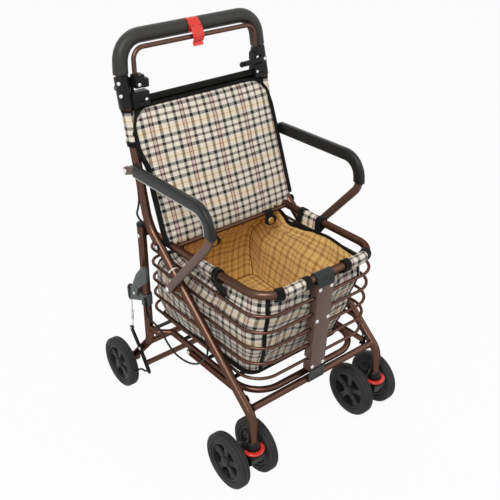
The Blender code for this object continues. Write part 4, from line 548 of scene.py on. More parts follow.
class Shell:
    """One piece in the making: closed forms and sheets of one or more materials."""

    def __init__(self, name):
        self.name = name
        self.shape = bmesh.new()
        self.weave = self.shape.verts.layers.float_vector.new("weave")
        self.paints = []

    def tint(self, faces, paint):
        """Gives faces a material."""
        if paint not in self.paints:
            self.paints.append(paint)
        for face in faces:
            face.material_index = self.paints.index(paint)

    def lattice(self, rows, paint, around=True, along=False, caps=True, coords=None):
        """Faces between rows of points; around closes each row, along joins the last to the first."""
        verts = []
        for r, row in enumerate(rows):
            line = [self.shape.verts.new(point) for point in row]
            if coords:
                for vert, place in zip(line, coords[r]):
                    vert[self.weave] = place
            verts.append(line)
        pairs = list(zip(verts, verts[1:]))
        if along:
            pairs.append((verts[-1], verts[0]))
        faces = []
        for one, two in pairs:
            count = len(one)
            for c in range(count if around else count - 1):
                n = (c + 1) % count
                faces.append(self.shape.faces.new((one[c], one[n], two[n], two[c])))
        if around and caps and not along:
            faces.append(self.shape.faces.new(verts[0]))
            faces.append(self.shape.faces.new(verts[-1]))
        self.tint(faces, paint)
        return faces

    def fan(self, row, paint):
        """Closes a ring of points with triangles round its middle."""
        middle = self.shape.verts.new(sum(row, Vector()) / len(row))
        verts = [self.shape.verts.new(point) for point in row]
        faces = []
        for index, vert in enumerate(verts):
            following = verts[(index + 1) % len(verts)]
            faces.append(self.shape.faces.new((vert, following, middle)))
        self.tint(faces, paint)

    def sweep(self, path, section, paint, normal=(0, 0, 1), closed=False, scales=None):
        """A section carried along a path, at a scale for each point if scales are given."""
        first = Vector(normal)
        rows, coords = [], []
        walked = 0.0
        girth = [0.0]
        for a, b in zip(section, section[1:]):
            girth.append(girth[-1] + math.dist(a, b))
        count = len(path)
        for index, point in enumerate(path):
            before = path[index - 1] if index or closed else point
            after = path[(index + 1) % count] if index < count - 1 or closed else point
            if index:
                walked += (point - before).length
            tangent = ((point - before).normalized() + (after - point).normalized()).normalized()
            first = (first - tangent * first.dot(tangent)).normalized()
            second = tangent.cross(first)
            scale = scales[index] if scales else 1.0
            rows.append([point + (first * a + second * b) * scale for a, b in section])
            coords.append([(walked, place, 0.0) for place in girth])
        self.lattice(rows, paint, along=closed, coords=coords)

    def strap(self, line, thick, paint, across=(1, 0, 0), edge=0.0005):
        """A flat band along (point, half width) pairs, with its corners eased."""
        across, deep = Vector(across), thick / 2
        rows = []
        for index, (point, half) in enumerate(line):
            before = Vector(line[max(0, index - 1)][0])
            after = Vector(line[min(len(line) - 1, index + 1)][0])
            out = across.cross(after - before).normalized()
            corner = [(half - edge, -deep), (half, edge - deep), (half, deep - edge), (half - edge, deep)]
            section = corner + [(-a, -b) for a, b in corner]
            rows.append([Vector(point) + across * a + out * b for a, b in section])
        self.lattice(rows, paint)

    def rod(self, start, end, radius, paint, sides=24, edge=0.0):
        """A straight round bar, with its ends rounded if edge is given."""
        start, end = Vector(start), Vector(end)
        along = (end - start).normalized()
        normal = (0, 0, 1) if abs(along.z) < 0.9 else (1, 0, 0)
        path, scales = [start, end], [1.0, 1.0]
        if edge:
            turns = [math.pi / 2 * n / 3 for n in range(4)]
            grow = [1 - edge / radius * (1 - math.sin(turn)) for turn in turns]
            shift = [edge * (1 - math.cos(turn)) for turn in turns]
            path = [start + along * s for s in shift] + [end - along * s for s in reversed(shift)]
            scales = grow + grow[::-1]
        self.sweep(path, circle(radius, sides), paint, normal, scales=scales)

    def turned(self, profile, centre, axis, paint, sides=48, closed=False):
        """A profile of (along, radius) turned about an axis; a closed one makes a ring."""
        centre, axis = Vector(centre), Vector(axis).normalized()
        helper = Vector((0, 0, 1)) if abs(axis.z) < 0.9 else Vector((1, 0, 0))
        first = helper.cross(axis).normalized()
        second = axis.cross(first)
        rows = []
        for along, radius in profile:
            middle = centre + axis * along
            row = []
            for step in range(sides):
                angle = TAU * (step + 0.5) / sides
                row.append(middle + (first * math.cos(angle) + second * math.sin(angle)) * radius)
            rows.append(row)
        self.lattice(rows, paint, along=closed)

    def dome(self, centre, axis, radius, height, paint):
        """A rivet or bolt head with a thin rim."""
        rim = 0.0006
        profile = [(-0.001, radius * 0.97), (0.0, radius), (rim, radius)]
        for step in range(1, 6):
            turn = math.pi / 2 * step / 5.4
            profile.append((rim + (height - rim) * math.sin(turn), radius * 0.96 * math.cos(turn)))
        self.turned(profile, centre, axis, paint, 24)

    def soften(self, faces, offset, segments=2):
        """Rounds the edges of faces."""
        edges = list({edge for face in faces for edge in face.edges})
        bmesh.ops.bevel(
            self.shape, geom=edges, offset=offset, segments=segments, affect="EDGES", profile=0.6
        )

    def plate(self, outline, origin, thickness, paint, bevel=0.0006, segments=2, across=(0, 1, 0)):
        """An upright plate with the outline (across, z), thickened to both sides."""
        across, up, origin = Vector(across), Vector((0, 0, 1)), Vector(origin)
        out = across.cross(up) * thickness / 2
        middle = [origin + across * a + up * b for a, b in outline]
        faces = self.lattice([[p - out for p in middle], [p + out for p in middle]], paint)
        self.soften(faces[-2:], bevel, segments)

    def block(self, corner, opposite, paint, bevel):
        """A box between two opposite corners, with rounded edges."""
        (x, far_x), (y, far_y), heights = (sorted(pair) for pair in zip(corner, opposite))
        rows = [[(x, y, z), (far_x, y, z), (far_x, far_y, z), (x, far_y, z)] for z in heights]
        self.soften(self.lattice(rows, paint), bevel)

    def finish(self, body, *nodes, sharp=38):
        """Makes the object, with its first material's slot, and lets it ride in place of CAD nodes."""
        bmesh.ops.recalc_face_normals(self.shape, faces=self.shape.faces)
        mesh = bpy.data.meshes.new(self.name)
        self.shape.to_mesh(mesh)
        self.shape.free()
        for paint in self.paints:
            mesh.materials.append(paint)
        mesh.shade_smooth()
        mesh.set_sharp_from_angle(angle=math.radians(sharp))
        item = add_object(self.name, mesh)
        if body:
            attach(item, body)
        if nodes:
            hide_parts(*nodes)
        return item


# Materials
def material(name):
    """A new material and its node tree."""
    made = bpy.data.materials.new(name)
    made.use_nodes = True
    return made, made.node_tree


def feed(tree, made, inputs):
    """Links sockets to a node's inputs and sets the others to plain values."""
    for name, value in inputs.items():
        if isinstance(value, bpy.types.NodeSocket):
            tree.links.new(value, made.inputs[name])
        else:
            made.inputs[name].default_value = value


def node(tree, kind, inputs=None, **settings):
    """Adds a shader node with its properties and inputs."""
    made = tree.nodes.new(kind)
    for name, value in settings.items():
        setattr(made, name, value)
    feed(tree, made, inputs or {})
    return made


def ramp(tree, source, stops):
    """A colour ramp with (place, colour) stops."""
    made = node(tree, "ShaderNodeValToRGB", {"Fac": source})
    elements = made.color_ramp.elements
    elements.remove(elements[1])
    elements[0].position, elements[0].color = stops[0][0], (*stops[0][1], 1)
    for place, colour in stops[1:]:
        elements.new(place).color = (*colour, 1)
    return made.outputs["Color"]


def math_node(tree, operation, first, second=0.0):
    """A math node whose inputs are sockets or numbers."""
    return node(tree, "ShaderNodeMath", {0: first, 1: second}, operation=operation).outputs[0]


def noise_node(tree, scale, detail=2.0, roughness=0.5):
    """Noise in the object's own coordinates, in metres."""
    place = node(tree, "ShaderNodeTexCoord").outputs["Object"]
    inputs = {"Vector": place, "Scale": scale, "Detail": detail, "Roughness": roughness}
    return node(tree, "ShaderNodeTexNoise", inputs).outputs["Fac"]


def bump(tree, height, strength, distance):
    """Bends the shader's normal by a height."""
    made = node(tree, "ShaderNodeBump", {"Height": height, "Strength": strength, "Distance": distance})
    feed(tree, tree.nodes["Principled BSDF"], {"Normal": made.outputs["Normal"]})


def tones(tree, source, low, high):
    """A ramp between two greys over the middle of a noise."""
    return ramp(tree, source, [(0.3, (low,) * 3), (0.7, (high,) * 3)])


def scaled(colour, factor):
    """A colour made lighter or darker."""
    return tuple(min(1.0, channel * factor) for channel in colour)


def surface(name, colour, rough, metallic=0.0, patch=18.0, vary=0.12, grain=900.0, relief=0.15, **sockets):
    """A material with patches of tone, uneven gloss and a fine grain."""
    made, tree = material(name)
    stops = [(0.3, scaled(colour, 1 - vary)), (0.7, scaled(colour, 1 + vary))]
    inputs = {
        "Base Color": ramp(tree, noise_node(tree, patch, 4.0, 0.55), stops),
        "Roughness": tones(tree, noise_node(tree, patch * 3, 3.0), *rough),
        "Metallic": metallic,
    }
    inputs.update({socket.replace("_", " "): value for socket, value in sockets.items()})
    feed(tree, tree.nodes["Principled BSDF"], inputs)
    bump(tree, noise_node(tree, grain), relief, 0.0003)
    return made


def stripes(tree, coordinate, repeat, rows, field, soft):
    """Colours along one coordinate: rows of (middle, width, colour) in metres, repeated."""
    place = math_node(tree, "FRACT", math_node(tree, "DIVIDE", coordinate, repeat))
    stops = [(0.0, field)]
    for middle, width, colour in rows:
        low, high = middle - width / 2, middle + width / 2
        stops += [((low - soft) / repeat, field), ((low + soft) / repeat, colour)]
        stops += [((high - soft) / repeat, colour), ((high + soft) / repeat, field)]
    return ramp(tree, place, stops)


def blend_colours(tree, first, second, share=1.0, kind="MULTIPLY"):
    """Two colours mixed, each given as a socket."""
    made = node(tree, "ShaderNodeMix", {"Factor": share}, data_type="RGBA", blend_type=kind)
    colours = [socket for socket in made.inputs if socket.type == "RGBA"]
    for socket, value in zip(colours, (first, second)):
        tree.links.new(value, socket)
    return next(socket for socket in made.outputs if socket.type == "RGBA")


def weave_place(tree):
    """The cloth's own coordinates, along the weft and along the warp, in metres."""
    place = node(tree, "ShaderNodeAttribute", attribute_name="weave").outputs["Vector"]
    split = node(tree, "ShaderNodeSeparateXYZ", {0: place})
    return split.outputs[0], split.outputs[1]


def ripple(tree, coordinate, length):
    """A sine wave along a coordinate."""
    return math_node(tree, "SINE", math_node(tree, "MULTIPLY", coordinate, TAU / length))


def plaid(name, field, dark, tan, wine, pink, gold, buff, rough=0.85, soft=0.0005, relief=0.35, sheen=0.15):
    """Woven check: the average of warp threads along u and weft threads along v, deepened."""
    made, tree = material(name)
    u, v = weave_place(tree)
    warp = [
        (0.0066, 0.004, wine), (0.0111, 0.0032, pink), (0.0156, 0.004, wine),
        (0.0334, 0.0082, dark), (0.0557, 0.0056, dark), (0.078, 0.0082, dark),
    ]
    weft = [
        (0.0035, 0.005, buff), (0.008, 0.0038, gold), (0.013, 0.006, buff),
        (0.0239, 0.0076, dark), (0.0398, 0.0056, tan), (0.0557, 0.0074, dark),
    ]
    warp = stripes(tree, u, WARP_REPEAT, warp, field, soft)
    weft = stripes(tree, v, WEFT_REPEAT, weft, field, soft)
    threads = blend_colours(tree, warp, weft, 0.5, "MIX")
    threads = node(tree, "ShaderNodeGamma", {"Color": threads, "Gamma": 1.45}).outputs["Color"]
    toned = blend_colours(tree, threads, tones(tree, noise_node(tree, 14.0, 3.0), 0.92, 1.0))
    inputs = {
        "Base Color": blend_colours(tree, toned, tones(tree, noise_node(tree, 420.0), 0.9, 1.0)),
        "Roughness": rough,
        "Sheen Weight": sheen,
        "Specular IOR Level": 0.3,
    }
    feed(tree, tree.nodes["Principled BSDF"], inputs)
    ridges = math_node(tree, "MULTIPLY", ripple(tree, u, THREAD), ripple(tree, v, THREAD))
    bump(tree, math_node(tree, "ADD", ridges, noise_node(tree, 160.0, 3.0)), relief, 0.0004)
    return made


def webbing(name, colour, rib=0.0016):
    """Black tape or piping with fine ribs across it."""
    made = surface(
        name, colour, (0.6, 0.75), patch=30.0, vary=0.25, Sheen_Weight=0.04, Specular_IOR_Level=0.1
    )
    tree = made.node_tree
    ribs = ripple(tree, weave_place(tree)[0], rib)
    bump(tree, math_node(tree, "ADD", ribs, noise_node(tree, 700.0)), 0.3, 0.0003)
    return made


PAINT = surface(
    "brown_paint_metallic", (0.114, 0.061, 0.044), (0.24, 0.32), 0.85, patch=9.0, vary=0.1, grain=1400.0,
    relief=0.1, Specular_Tint=(0.35, 0.2, 0.15, 1.0)
)
FOAM = surface(
    "grip_foam", (0.026, 0.025, 0.022), (0.42, 0.55), patch=40.0, vary=0.14, grain=1600.0, relief=0.45,
    Specular_IOR_Level=0.35
)
RUBBER = surface(
    "armrest_rubber", (0.009, 0.0105, 0.01), (0.28, 0.38), patch=14.0, grain=1100.0, Specular_IOR_Level=0.32
)
# A light grey for the thin ridge along each grip's lower outer edge: a painted highlight, which the dark
# rubber itself doesn't have.
GRIP_RIDGE_PAINTED_HIGHLIGHT = surface("rubber_ridge_painted_highlight", (0.42, 0.42, 0.4), (0.5, 0.6), patch=30.0, vary=0.1)
BLACK = surface(
    "black_plastic_moulded", (0.007, 0.007, 0.007), (0.36, 0.48), patch=25.0, vary=0.2, relief=0.2,
    Specular_IOR_Level=0.2
)
GREY = surface(
    "grey_plastic_moulded", (0.06, 0.068, 0.067), (0.42, 0.56), patch=25.0, vary=0.1, grain=700.0,
    relief=0.3
)
RED = surface("red_plastic_moulded", (0.72, 0.034, 0.022), (0.3, 0.42), patch=30.0, vary=0.06, relief=0.08)
STEEL = surface("zinc_steel", (0.62, 0.62, 0.61), (0.22, 0.38), 1.0, patch=120.0, grain=1500.0, relief=0.12)
WHITE_HEAD = surface(
    "bright_rivet", (0.8, 0.8, 0.78), (0.25, 0.4), 0.3, patch=160.0, vary=0.06, grain=1500.0, relief=0.1
)
BRASS = surface("brass_snap", (0.62, 0.46, 0.17), (0.25, 0.4), 0.9, patch=160.0, grain=1300.0)
TYRE = surface(
    "tyre_rubber", (0.026, 0.027, 0.026), (0.62, 0.78), patch=22.0, vary=0.22, grain=700.0, relief=0.25,
    Specular_IOR_Level=0.3
)
HUB = surface(
    "hub_plastic", (0.017, 0.0175, 0.017), (0.45, 0.6), patch=30.0, vary=0.15, grain=700.0, relief=0.25,
    Specular_IOR_Level=0.3
)
HUB_DARK = surface("hub_plastic_shaded", (0.01, 0.01, 0.01), (0.55, 0.7), Specular_IOR_Level=0.2)
TAPE = webbing("black_binding", (0.006, 0.006, 0.005))
WEB = webbing("black_webbing", (0.007, 0.007, 0.007), rib=0.0022)
CHECK = plaid(
    "checked_cloth", (0.95, 0.885, 0.79), (0.014, 0.013, 0.016), (0.12, 0.06, 0.05), (0.18, 0.018, 0.045),
    (0.6, 0.4, 0.42), (0.72, 0.5, 0.18), (0.95, 0.82, 0.62)
)
LINING = plaid(
    "amber_lining", (0.98, 0.75, 0.36), (0.58, 0.34, 0.14), (0.68, 0.43, 0.18), (0.64, 0.37, 0.15),
    (0.96, 0.72, 0.33), (0.74, 0.48, 0.2), (0.98, 0.75, 0.36), rough=0.42, soft=0.0012, relief=0.25,
    sheen=0.3
)
# A flatter, lighter brown: the front channel's own paint, and on the armrest tubes partly a painted
# highlight along them.
FLAT_PAINT_AND_ARM_HIGHLIGHT = surface(
    "brown_paint_flat_and_arm_highlight", (0.126, 0.071, 0.053), (0.38, 0.48), 0.35, patch=12.0, vary=0.08, grain=1400.0,
    relief=0.1
)
HOOK_GREY = surface(
    "dark_grey_plastic", (0.015, 0.017, 0.018), (0.34, 0.46), patch=25.0, vary=0.1, relief=0.2,
    Specular_IOR_Level=0.3
)
LINING_SEAM = surface("lining_seam", (0.22, 0.085, 0.025), (0.6, 0.7))
CLEAR = surface("white_nylon", (0.78, 0.78, 0.76), (0.3, 0.45), patch=60.0, vary=0.05, relief=0.05)
SHEATH = surface(
    "cable_sheath", (0.006, 0.006, 0.006), (0.36, 0.5), patch=40.0, vary=0.15, relief=0.08,
    Specular_IOR_Level=0.2
)


# Frame, handle, brackets and armrests
def build_main_tubes():
    """Both bent main tubes, the cross tube between them, the armrest ears and the pivot heads."""
    made = Shell("main_tubes")
    for side in SIDES.values():
        corners = [
            ((side * CASTOR_X, STEM_Y, STEM_BOTTOM), 0),
            ((side * CASTOR_X, STEM_Y, FRONT_BEND_Z), TUBE_BEND),
            ((side * WAIST_X, WAIST_Y, WAIST_Z), WAIST_BEND),
            (post_point(side, POST_CUT), 0),
        ]
        made.sweep(rounded(corners), circle(TUBE_RADIUS, 32), PAINT, (1, 0, 0))
        ear_x = side * (ARM_X - ARM_THICK / 2 - GAP - 0.0045)
        roots = (post_point(side, ARM_REAR[1]), slope_point(side, ARM_FOOT[1] + 0.01))
        for root, bolt in zip(roots, (ARM_REAR, ARM_FOOT)):
            made.plate(slot_outline((root.y, root.z), bolt, 0.0085), (ear_x, 0, 0), 0.009, PAINT)
        outer = slope_point(side, FOLD_Z).x + side * (TUBE_RADIUS - 0.003)
        spot = Vector((outer, FOLD_Y, FOLD_Z))
        made.turned([(0, 0.0095), (0.0036, 0.0095), (0.0042, 0.0088)], spot, (side, 0, 0), BLACK, 32)
        made.dome(spot + Vector((side * 0.0042, 0, 0)), (side, 0, 0), 0.0055, 0.0028, STEEL)
        bead = [(-0.004, GAP), (-0.001, 0.0016), (0.002, 0.0034)]
        bead = [(along, CROSS_RADIUS + lift) for along, lift in bead]
        made.turned(bead, (side * (CASTOR_X - TUBE_RADIUS), CROSS_Y, CROSS_Z), (side, 0, 0), PAINT, 28)
    reach = CASTOR_X - 0.004
    made.rod((-reach, CROSS_Y, CROSS_Z), (reach, CROSS_Y, CROSS_Z), CROSS_RADIUS, PAINT, 28)
    made.finish("frame", "main_frame")


def build_handle():
    """The U of the handle and the two foam grips on it."""
    half = [
        ((HANDLE_X, HANDLE_Y, HANDLE_TOP), HANDLE_BEND),
        (post_point(1, POST_TOP), 0.03),
        (post_point(1, POST_CUT + GAP), 0),
    ]
    path = rounded(both_sides(half))
    tube = Shell("handle_tube_fine")
    tube.sweep(path, circle(TUBE_RADIUS, 32), PAINT, (0, 1, 0))
    tube.finish("frame", "handle_tube")
    half = even(stretch(path, (2, FOAM_START), (0, -FOAM_SPLIT / 2)), 0.006)
    for label, side in SIDES.items():
        run = [Vector((side * abs(point.x), point.y, point.z)) for point in half]
        run, scales = eased(run, 0.0035, 0.84)
        grip = Shell(f"foam_sleeve_{label}")
        grip.sweep(run, circle(FOAM_RADIUS, 36), FOAM, (0, 1, 0), scales=scales)
        grip.finish("frame", f"foam_grip_{label}")


def build_bracket(label, side):
    """The black clamp where a post meets the handle, with its blocks, rivets and bump."""
    made = Shell(f"post_clamp_{label}")
    low, high = post_point(side, SLEEVE_LOW), post_point(side, SLEEVE_HIGH)
    line = [low.lerp(high, share) for share, _ in CLAMP_GROW]
    scales = [scale for _, scale in CLAMP_GROW]
    made.sweep(line, soft_box(0.0153, 0.016, 44, 0.7), BLACK, (1, 0, 0), scales=scales)
    wall, sunk = side * CLAMP_WALL, side * (CLAMP_WALL + 0.007)
    tip = wall - side * BLOCK_REACH[label]
    guide_tip = wall - side * 0.012
    blocks = (
        (tip, 0.16, 0.184, 0.803, 0.8335, 0.0018),
        (guide_tip, 0.1856, 0.19, 0.809, 0.864, 0.001),
        (guide_tip, 0.181, 0.1886, 0.809, 0.8295, 0.001),
        (tip + side * 0.0015, 0.1572, 0.161, 0.8005, 0.811, 0.001),
    )
    for end, front, back, foot, top, edge in blocks:
        made.block((end, front, foot), (sunk, back, top), BLACK, edge)
    for z in CLAMP_HEADS:
        spot = post_point(side, z) + Vector((-0.0135, -0.0095, 0))
        made.dome(spot, (-0.75, -0.66, 0), 0.0044, 0.0022, WHITE_HEAD)
    made.dome((tip + side * 0.009, 0.1602, 0.8145), (0, -1, 0), 0.0038, 0.002, WHITE_HEAD)
    knob = post_point(side, 0.8435) + Vector((side * 0.014, 0.0065, 0))
    bulge = [(0, 0.0058), (0.002, 0.0056), (0.0036, 0.0044), (0.0042, 0.002)]
    made.turned(bulge, knob, (side, 0.2, 0), GREY, 24)
    if side < 0:
        first, second = Vector(CABLE_POINTS[0]), Vector(CABLE_POINTS[1])
        gland = [(0, 0.0036), (0.001, 0.0041), (0.006, 0.0041)]
        gland += [(0.007, 0.0034), (0.016, 0.0034), (0.022, 0.004)]
        made.turned(gland, first, first - second, BLACK, 24)
    else:
        made.rod((LEVER_X, 0.1583, LEVER_Z), (LEVER_X, 0.172, LEVER_Z), 0.0046, BLACK, 24, 0.0005)
    made.finish("frame", f"handle_bracket_{label}")


def build_socket(label, side):
    """The stepped block on one end of the brake bar, with its rivet."""
    made = Shell(f"bar_end_{label}")
    outer, reach = side * (CLAMP_WALL - 0.0025), BLOCK_REACH[label]
    step, tip = side * (CLAMP_WALL - reach * 0.72), side * (CLAMP_WALL - reach)
    ledge = step + side * 0.004
    made.block((outer, 0.16, 0.8425), (step, 0.184, 0.872), BLACK, 0.002)
    made.block((tip, 0.16, 0.8425), (ledge, 0.184, 0.862), BLACK, 0.0016)
    made.block((tip, 0.1615, 0.8415), (outer if side > 0 else ledge, 0.1825, 0.8445), BLACK, 0.0008)
    made.dome((side * 0.17, 0.1602, 0.8505), (0, -1, 0), 0.0042, 0.002, WHITE_HEAD)
    foot = Vector((side * BRAKE_X, BRAKE_Y, 0.871))
    made.turned([(0, 0.0082), (0.0026, 0.008), (0.0034, 0.0072)], foot, (0, 0.08, 1), BLACK, 28)
    made.finish("brake_bar", f"bar_socket_{label}")


def build_release_lever():
    """The flat lever on the right bracket, with an eye through its tip."""
    made = Shell("release_arm")
    tip_x, tip_z = LEVER_X - 0.07, LEVER_Z - 0.003
    outline = slot_outline((LEVER_X, LEVER_Z), (tip_x + 0.006, tip_z), 0.006, 14)
    made.plate(outline, (0, LEVER_Y, 0), 0.005, BLACK, 0.0009, across=(1, 0, 0))
    ring = mirrored([(0.0025, 0.003), (0.0025, 0.0064), (0.0017, 0.007)])
    made.turned(ring, (tip_x, LEVER_Y, tip_z), (0, 1, 0), BLACK, 32, closed=True)
    made.dome((LEVER_X, LEVER_Y - 0.0025, LEVER_Z), (0, -1, 0), 0.0042, 0.002, WHITE_HEAD)
    made.finish("release_lever", "release_lever")


def build_clip():
    """The red clip: a ring on the handle with an arm that springs over the brake bar."""
    made = Shell("parking_clip_moulded")
    ring = mirrored([(CLIP_HALF, 0.0116), (CLIP_HALF, 0.0172), (CLIP_HALF - 0.0006, 0.0178)])
    made.turned(ring, (0, HANDLE_Y, HANDLE_TOP), (1, 0, 0), RED, 56, closed=True)
    line = smooth_route([(shift, HANDLE_Y + y, HANDLE_TOP + z) for y, z, _, shift in CLIP_LINE], 4)
    widths = [(index / (len(CLIP_LINE) - 1), row[2]) for index, row in enumerate(CLIP_LINE)]
    arm = [(point, between(widths, index / (len(line) - 1))) for index, point in enumerate(line)]
    made.strap(arm, 0.003, RED, edge=0.0008)
    for edge in (-1, 1):
        for z, y in ((0.004, -0.0236), (-0.0215, -0.0334)):
            spot = Vector((edge * (CLIP_HALF - 0.0035), HANDLE_Y + y - 0.0015, HANDLE_TOP + z))
            half = Vector((0.0025, 0, 0))
            made.rod(spot - half, spot + half, 0.0007, BLACK, 10)
    made.finish("parking_clip", "parking_clip")


def build_brake_bar():
    """The thin squeeze bar in front of the handle."""
    half = [
        ((BRAKE_TOP_X, BRAKE_TOP_Y, BRAKE_TOP), BRAKE_BEND),
        ((BRAKE_X, BRAKE_Y, BRAKE_FOOT), 0),
    ]
    made = Shell("squeeze_bar")
    made.sweep(rounded(both_sides(half)), circle(BRAKE_RADIUS, 24), PAINT, (0, 1, 0))
    made.finish("brake_bar", "brake_bar")


def build_armrests():
    """The bent flat-sided tubes at the sides and the moulded grips on their upper parts."""
    half = ARM_THICK / 2
    for label, side in SIDES.items():
        x, out = side * ARM_X, Vector((side, 0, 0))
        path = rounded([((x, *place), bend) for place, bend in ARM_LINE])
        tube = Shell(f"armrest_bar_{label}")
        # The armrest tube takes the lighter flat brown, whose lighter tone stands in partly for the broad
        # highlight along it: painted highlight.
        tube.sweep(path, soft_box(half, ARM_WIDE / 2, 36, 0.6), FLAT_PAINT_AND_ARM_HIGHLIGHT, (1, 0, 0))
        disc = mirrored([(half, 0.007), (half - 0.001, 0.0092), (half - 0.003, 0.01)])
        for middle in (path[0], path[-1]):
            tube.turned(disc, middle, out, FLAT_PAINT_AND_ARM_HIGHLIGHT, 40)
            tube.dome(middle + out * (half - GAP), out, 0.0062, 0.003, WHITE_HEAD)
        tube.finish("frame", f"armrest_tube_{label}")
        run, scales = eased(even(stretch(path, (1, GRIP_START_Y), (2, GRIP_END_Z)), 0.006), 0.003, 0.86)
        grip = Shell(f"armrest_pad_{label}")
        grip.sweep(run, soft_box(GRIP_THICK / 2, GRIP_WIDE / 2, 40, 0.62), RUBBER, (1, 0, 0), scales=scales)
        # A thin ridge along the lower outer edge of the grip, coloured light grey as a painted highlight.
        seam = []
        for before, point, after in zip(run[4:], run[5:], run[6:-4]):
            up = (after - before).normalized().cross(Vector((1, 0, 0)))
            seam.append(point + out * GRIP_THICK * 0.46 - up * GRIP_WIDE * 0.34)
        grip.sweep(seam, circle(SEAM_RADIUS, 8), GRIP_RIDGE_PAINTED_HIGHLIGHT, (1, 0, 0))
        grip.finish("frame", f"armrest_grip_{label}")


# Wheels, castors and rear legs
def build_wheel(name, body, centre, outward):
    """A grooved tyre on a dished hub with five wide spokes and a round cap."""
    centre, axis = Vector(centre), Vector((outward, 0, 0))
    half, seat = TYRE_WIDTH / 2, WHEEL_RADIUS - TYRE_DEPTH
    line = [(half * share, seat + rise) for share, rise in TYRE_WALL]
    line += [(half * share, WHEEL_RADIUS - drop) for share, drop in TYRE_TREAD]
    tyre = Shell(f"{name}_tread")
    tyre.turned(mirrored(line), centre, axis, TYRE, 80, closed=True)
    tyre.finish(body, f"{name}_tyre")
    hub = Shell(f"{name}_core")
    wide, inner = HUB_WIDTH / 2, seat - HUB_RIM
    lip = wide + 0.0006
    rim = [(wide, seat), (lip, seat - 0.001), (lip, inner + 0.002), (wide, inner), (0.003, inner - 0.0012)]
    hub.turned(mirrored(rim), centre, axis, HUB, 80, closed=True)
    web = [(-0.006, 0.01), (-0.006, inner + 0.002), (-0.0035, inner + 0.002), (-0.0035, 0.01)]
    hub.turned(web, centre, axis, HUB_DARK, 64, closed=True)
    root = HUB_BOSS_RADIUS * 0.6
    for index in range(SPOKES):
        angle = TAU * index / SPOKES
        out = Vector((0, math.sin(angle), math.cos(angle)))
        across = Vector((0, math.cos(angle), -math.sin(angle)))
        rows = []
        for share in (0, 0.15, 0.4, 0.65, 0.85, 1):
            middle = centre + out * (root + (inner + 0.002 - root) * share)
            width = 0.0062 + 0.0034 * share + 0.02 * max(0, share - 0.8)
            front = wide * (0.86 - 0.24 * math.sin(math.pi * share) - 0.12 * share)
            rows.append([middle + across * width * a + axis * front * b for a, b in SPOKE_SECTION])
        hub.lattice(rows, HUB)
    face, cap = wide - 0.001, HUB_BOSS_RADIUS + 0.001
    boss = [(-wide - 0.001, HUB_BOSS_RADIUS * 0.9), (-wide, HUB_BOSS_RADIUS), (face, cap)]
    for turn in (15, 35, 55, 75, 86):
        angle = math.radians(turn)
        boss.append((face + 0.0042 * math.sin(angle), cap * math.cos(angle) ** 0.55))
    hub.turned(boss, centre, axis, HUB, 40)
    hub.finish(body, f"{name}_hub")


def build_castor(label, side):
    """One castor: the collar on the tube, the fork, the axle and the red swivel lock."""
    x, axle_y = side * CASTOR_X, STEM_Y + CASTOR_TRAIL
    collar = Shell(f"stem_collar_{label}")
    collar.turned(COLLAR_LINE, (x, STEM_Y, COLLAR_Z), (0, 0, 1), BLACK)
    collar.finish("frame", f"castor_collar_{label}")
    fork = Shell(f"fork_moulded_{label}")
    middle = Vector(FORK_MIDDLE)
    rows = []
    for share, grow in mirrored([(1, 0.9), (0.97, 0.965), (0.9, 1.0)]):
        section = [middle + (Vector(place) - middle) * grow for place in FORK_LINE]
        rows.append([(x + share * FORK_HALF, *place) for place in section])
    fork.lattice(rows, BLACK)
    fork.turned(NECK_LINE, (x, STEM_Y, NECK_Z), (0, 0, 1), BLACK)
    fork.rod((x, STEM_Y, 0.105), (x, STEM_Y, 0.128), AXLE_RADIUS, STEEL)
    for end in (-1, 1):
        barrel = [(0, 0.015), (0.003, 0.0146), (0.0044, 0.0128)]
        fork.turned(barrel, (x + end * (FORK_HALF - 0.0012), axle_y, WHEEL_RADIUS), (end, 0, 0), BLACK, 40)
    fork.finish(f"castor_{label}", f"castor_fork_{label}")
    axle = Shell(f"axle_pin_{label}")
    middle, reach = Vector((x, axle_y, WHEEL_RADIUS)), Vector((0.0462, 0, 0))
    axle.rod(middle - reach, middle + reach, AXLE_RADIUS, STEEL)
    axle.finish(f"castor_{label}", f"castor_axle_{label}")
    lock = Shell(f"lock_crescent_{label}")
    rows, inner = [], LOCK_INNER
    for step in range(37):
        angle = math.radians(172 + 196 * step / 36)
        outer = inner + LOCK_DEEP * (1 - 0.55 * abs(step / 18 - 1) ** 6)
        out = Vector((math.cos(angle), math.sin(angle), 0))
        section = [(inner, -0.003), (inner, 0.0022), (inner + 0.0008, 0.003), (outer - 0.0014, 0.003)]
        section += [(outer, 0.0018), (outer, -0.0018), (outer - 0.0012, -0.003)]
        rows.append([Vector((x, STEM_Y, LOCK_Z + up)) + out * reach for reach, up in section])
    lock.lattice(rows, RED)
    lock.finish(f"lock_{label}", f"swivel_lock_{label}")


def build_wheels():
    """The four castor wheels and the two rear wheels."""
    for label, side in SIDES.items():
        for place, outward in (("outer", side), ("inner", -side)):
            centre = (side * CASTOR_X + outward * TWIN_OFFSET, STEM_Y + CASTOR_TRAIL, WHEEL_RADIUS)
            build_wheel(f"castor_{place}_{label}", f"wheel_{place}_{label}", centre, outward)
        centre = (side * REAR_WHEEL_X, REAR_AXLE_Y, WHEEL_RADIUS)
        build_wheel(f"rear_{label}", f"wheel_rear_{label}", centre, side)


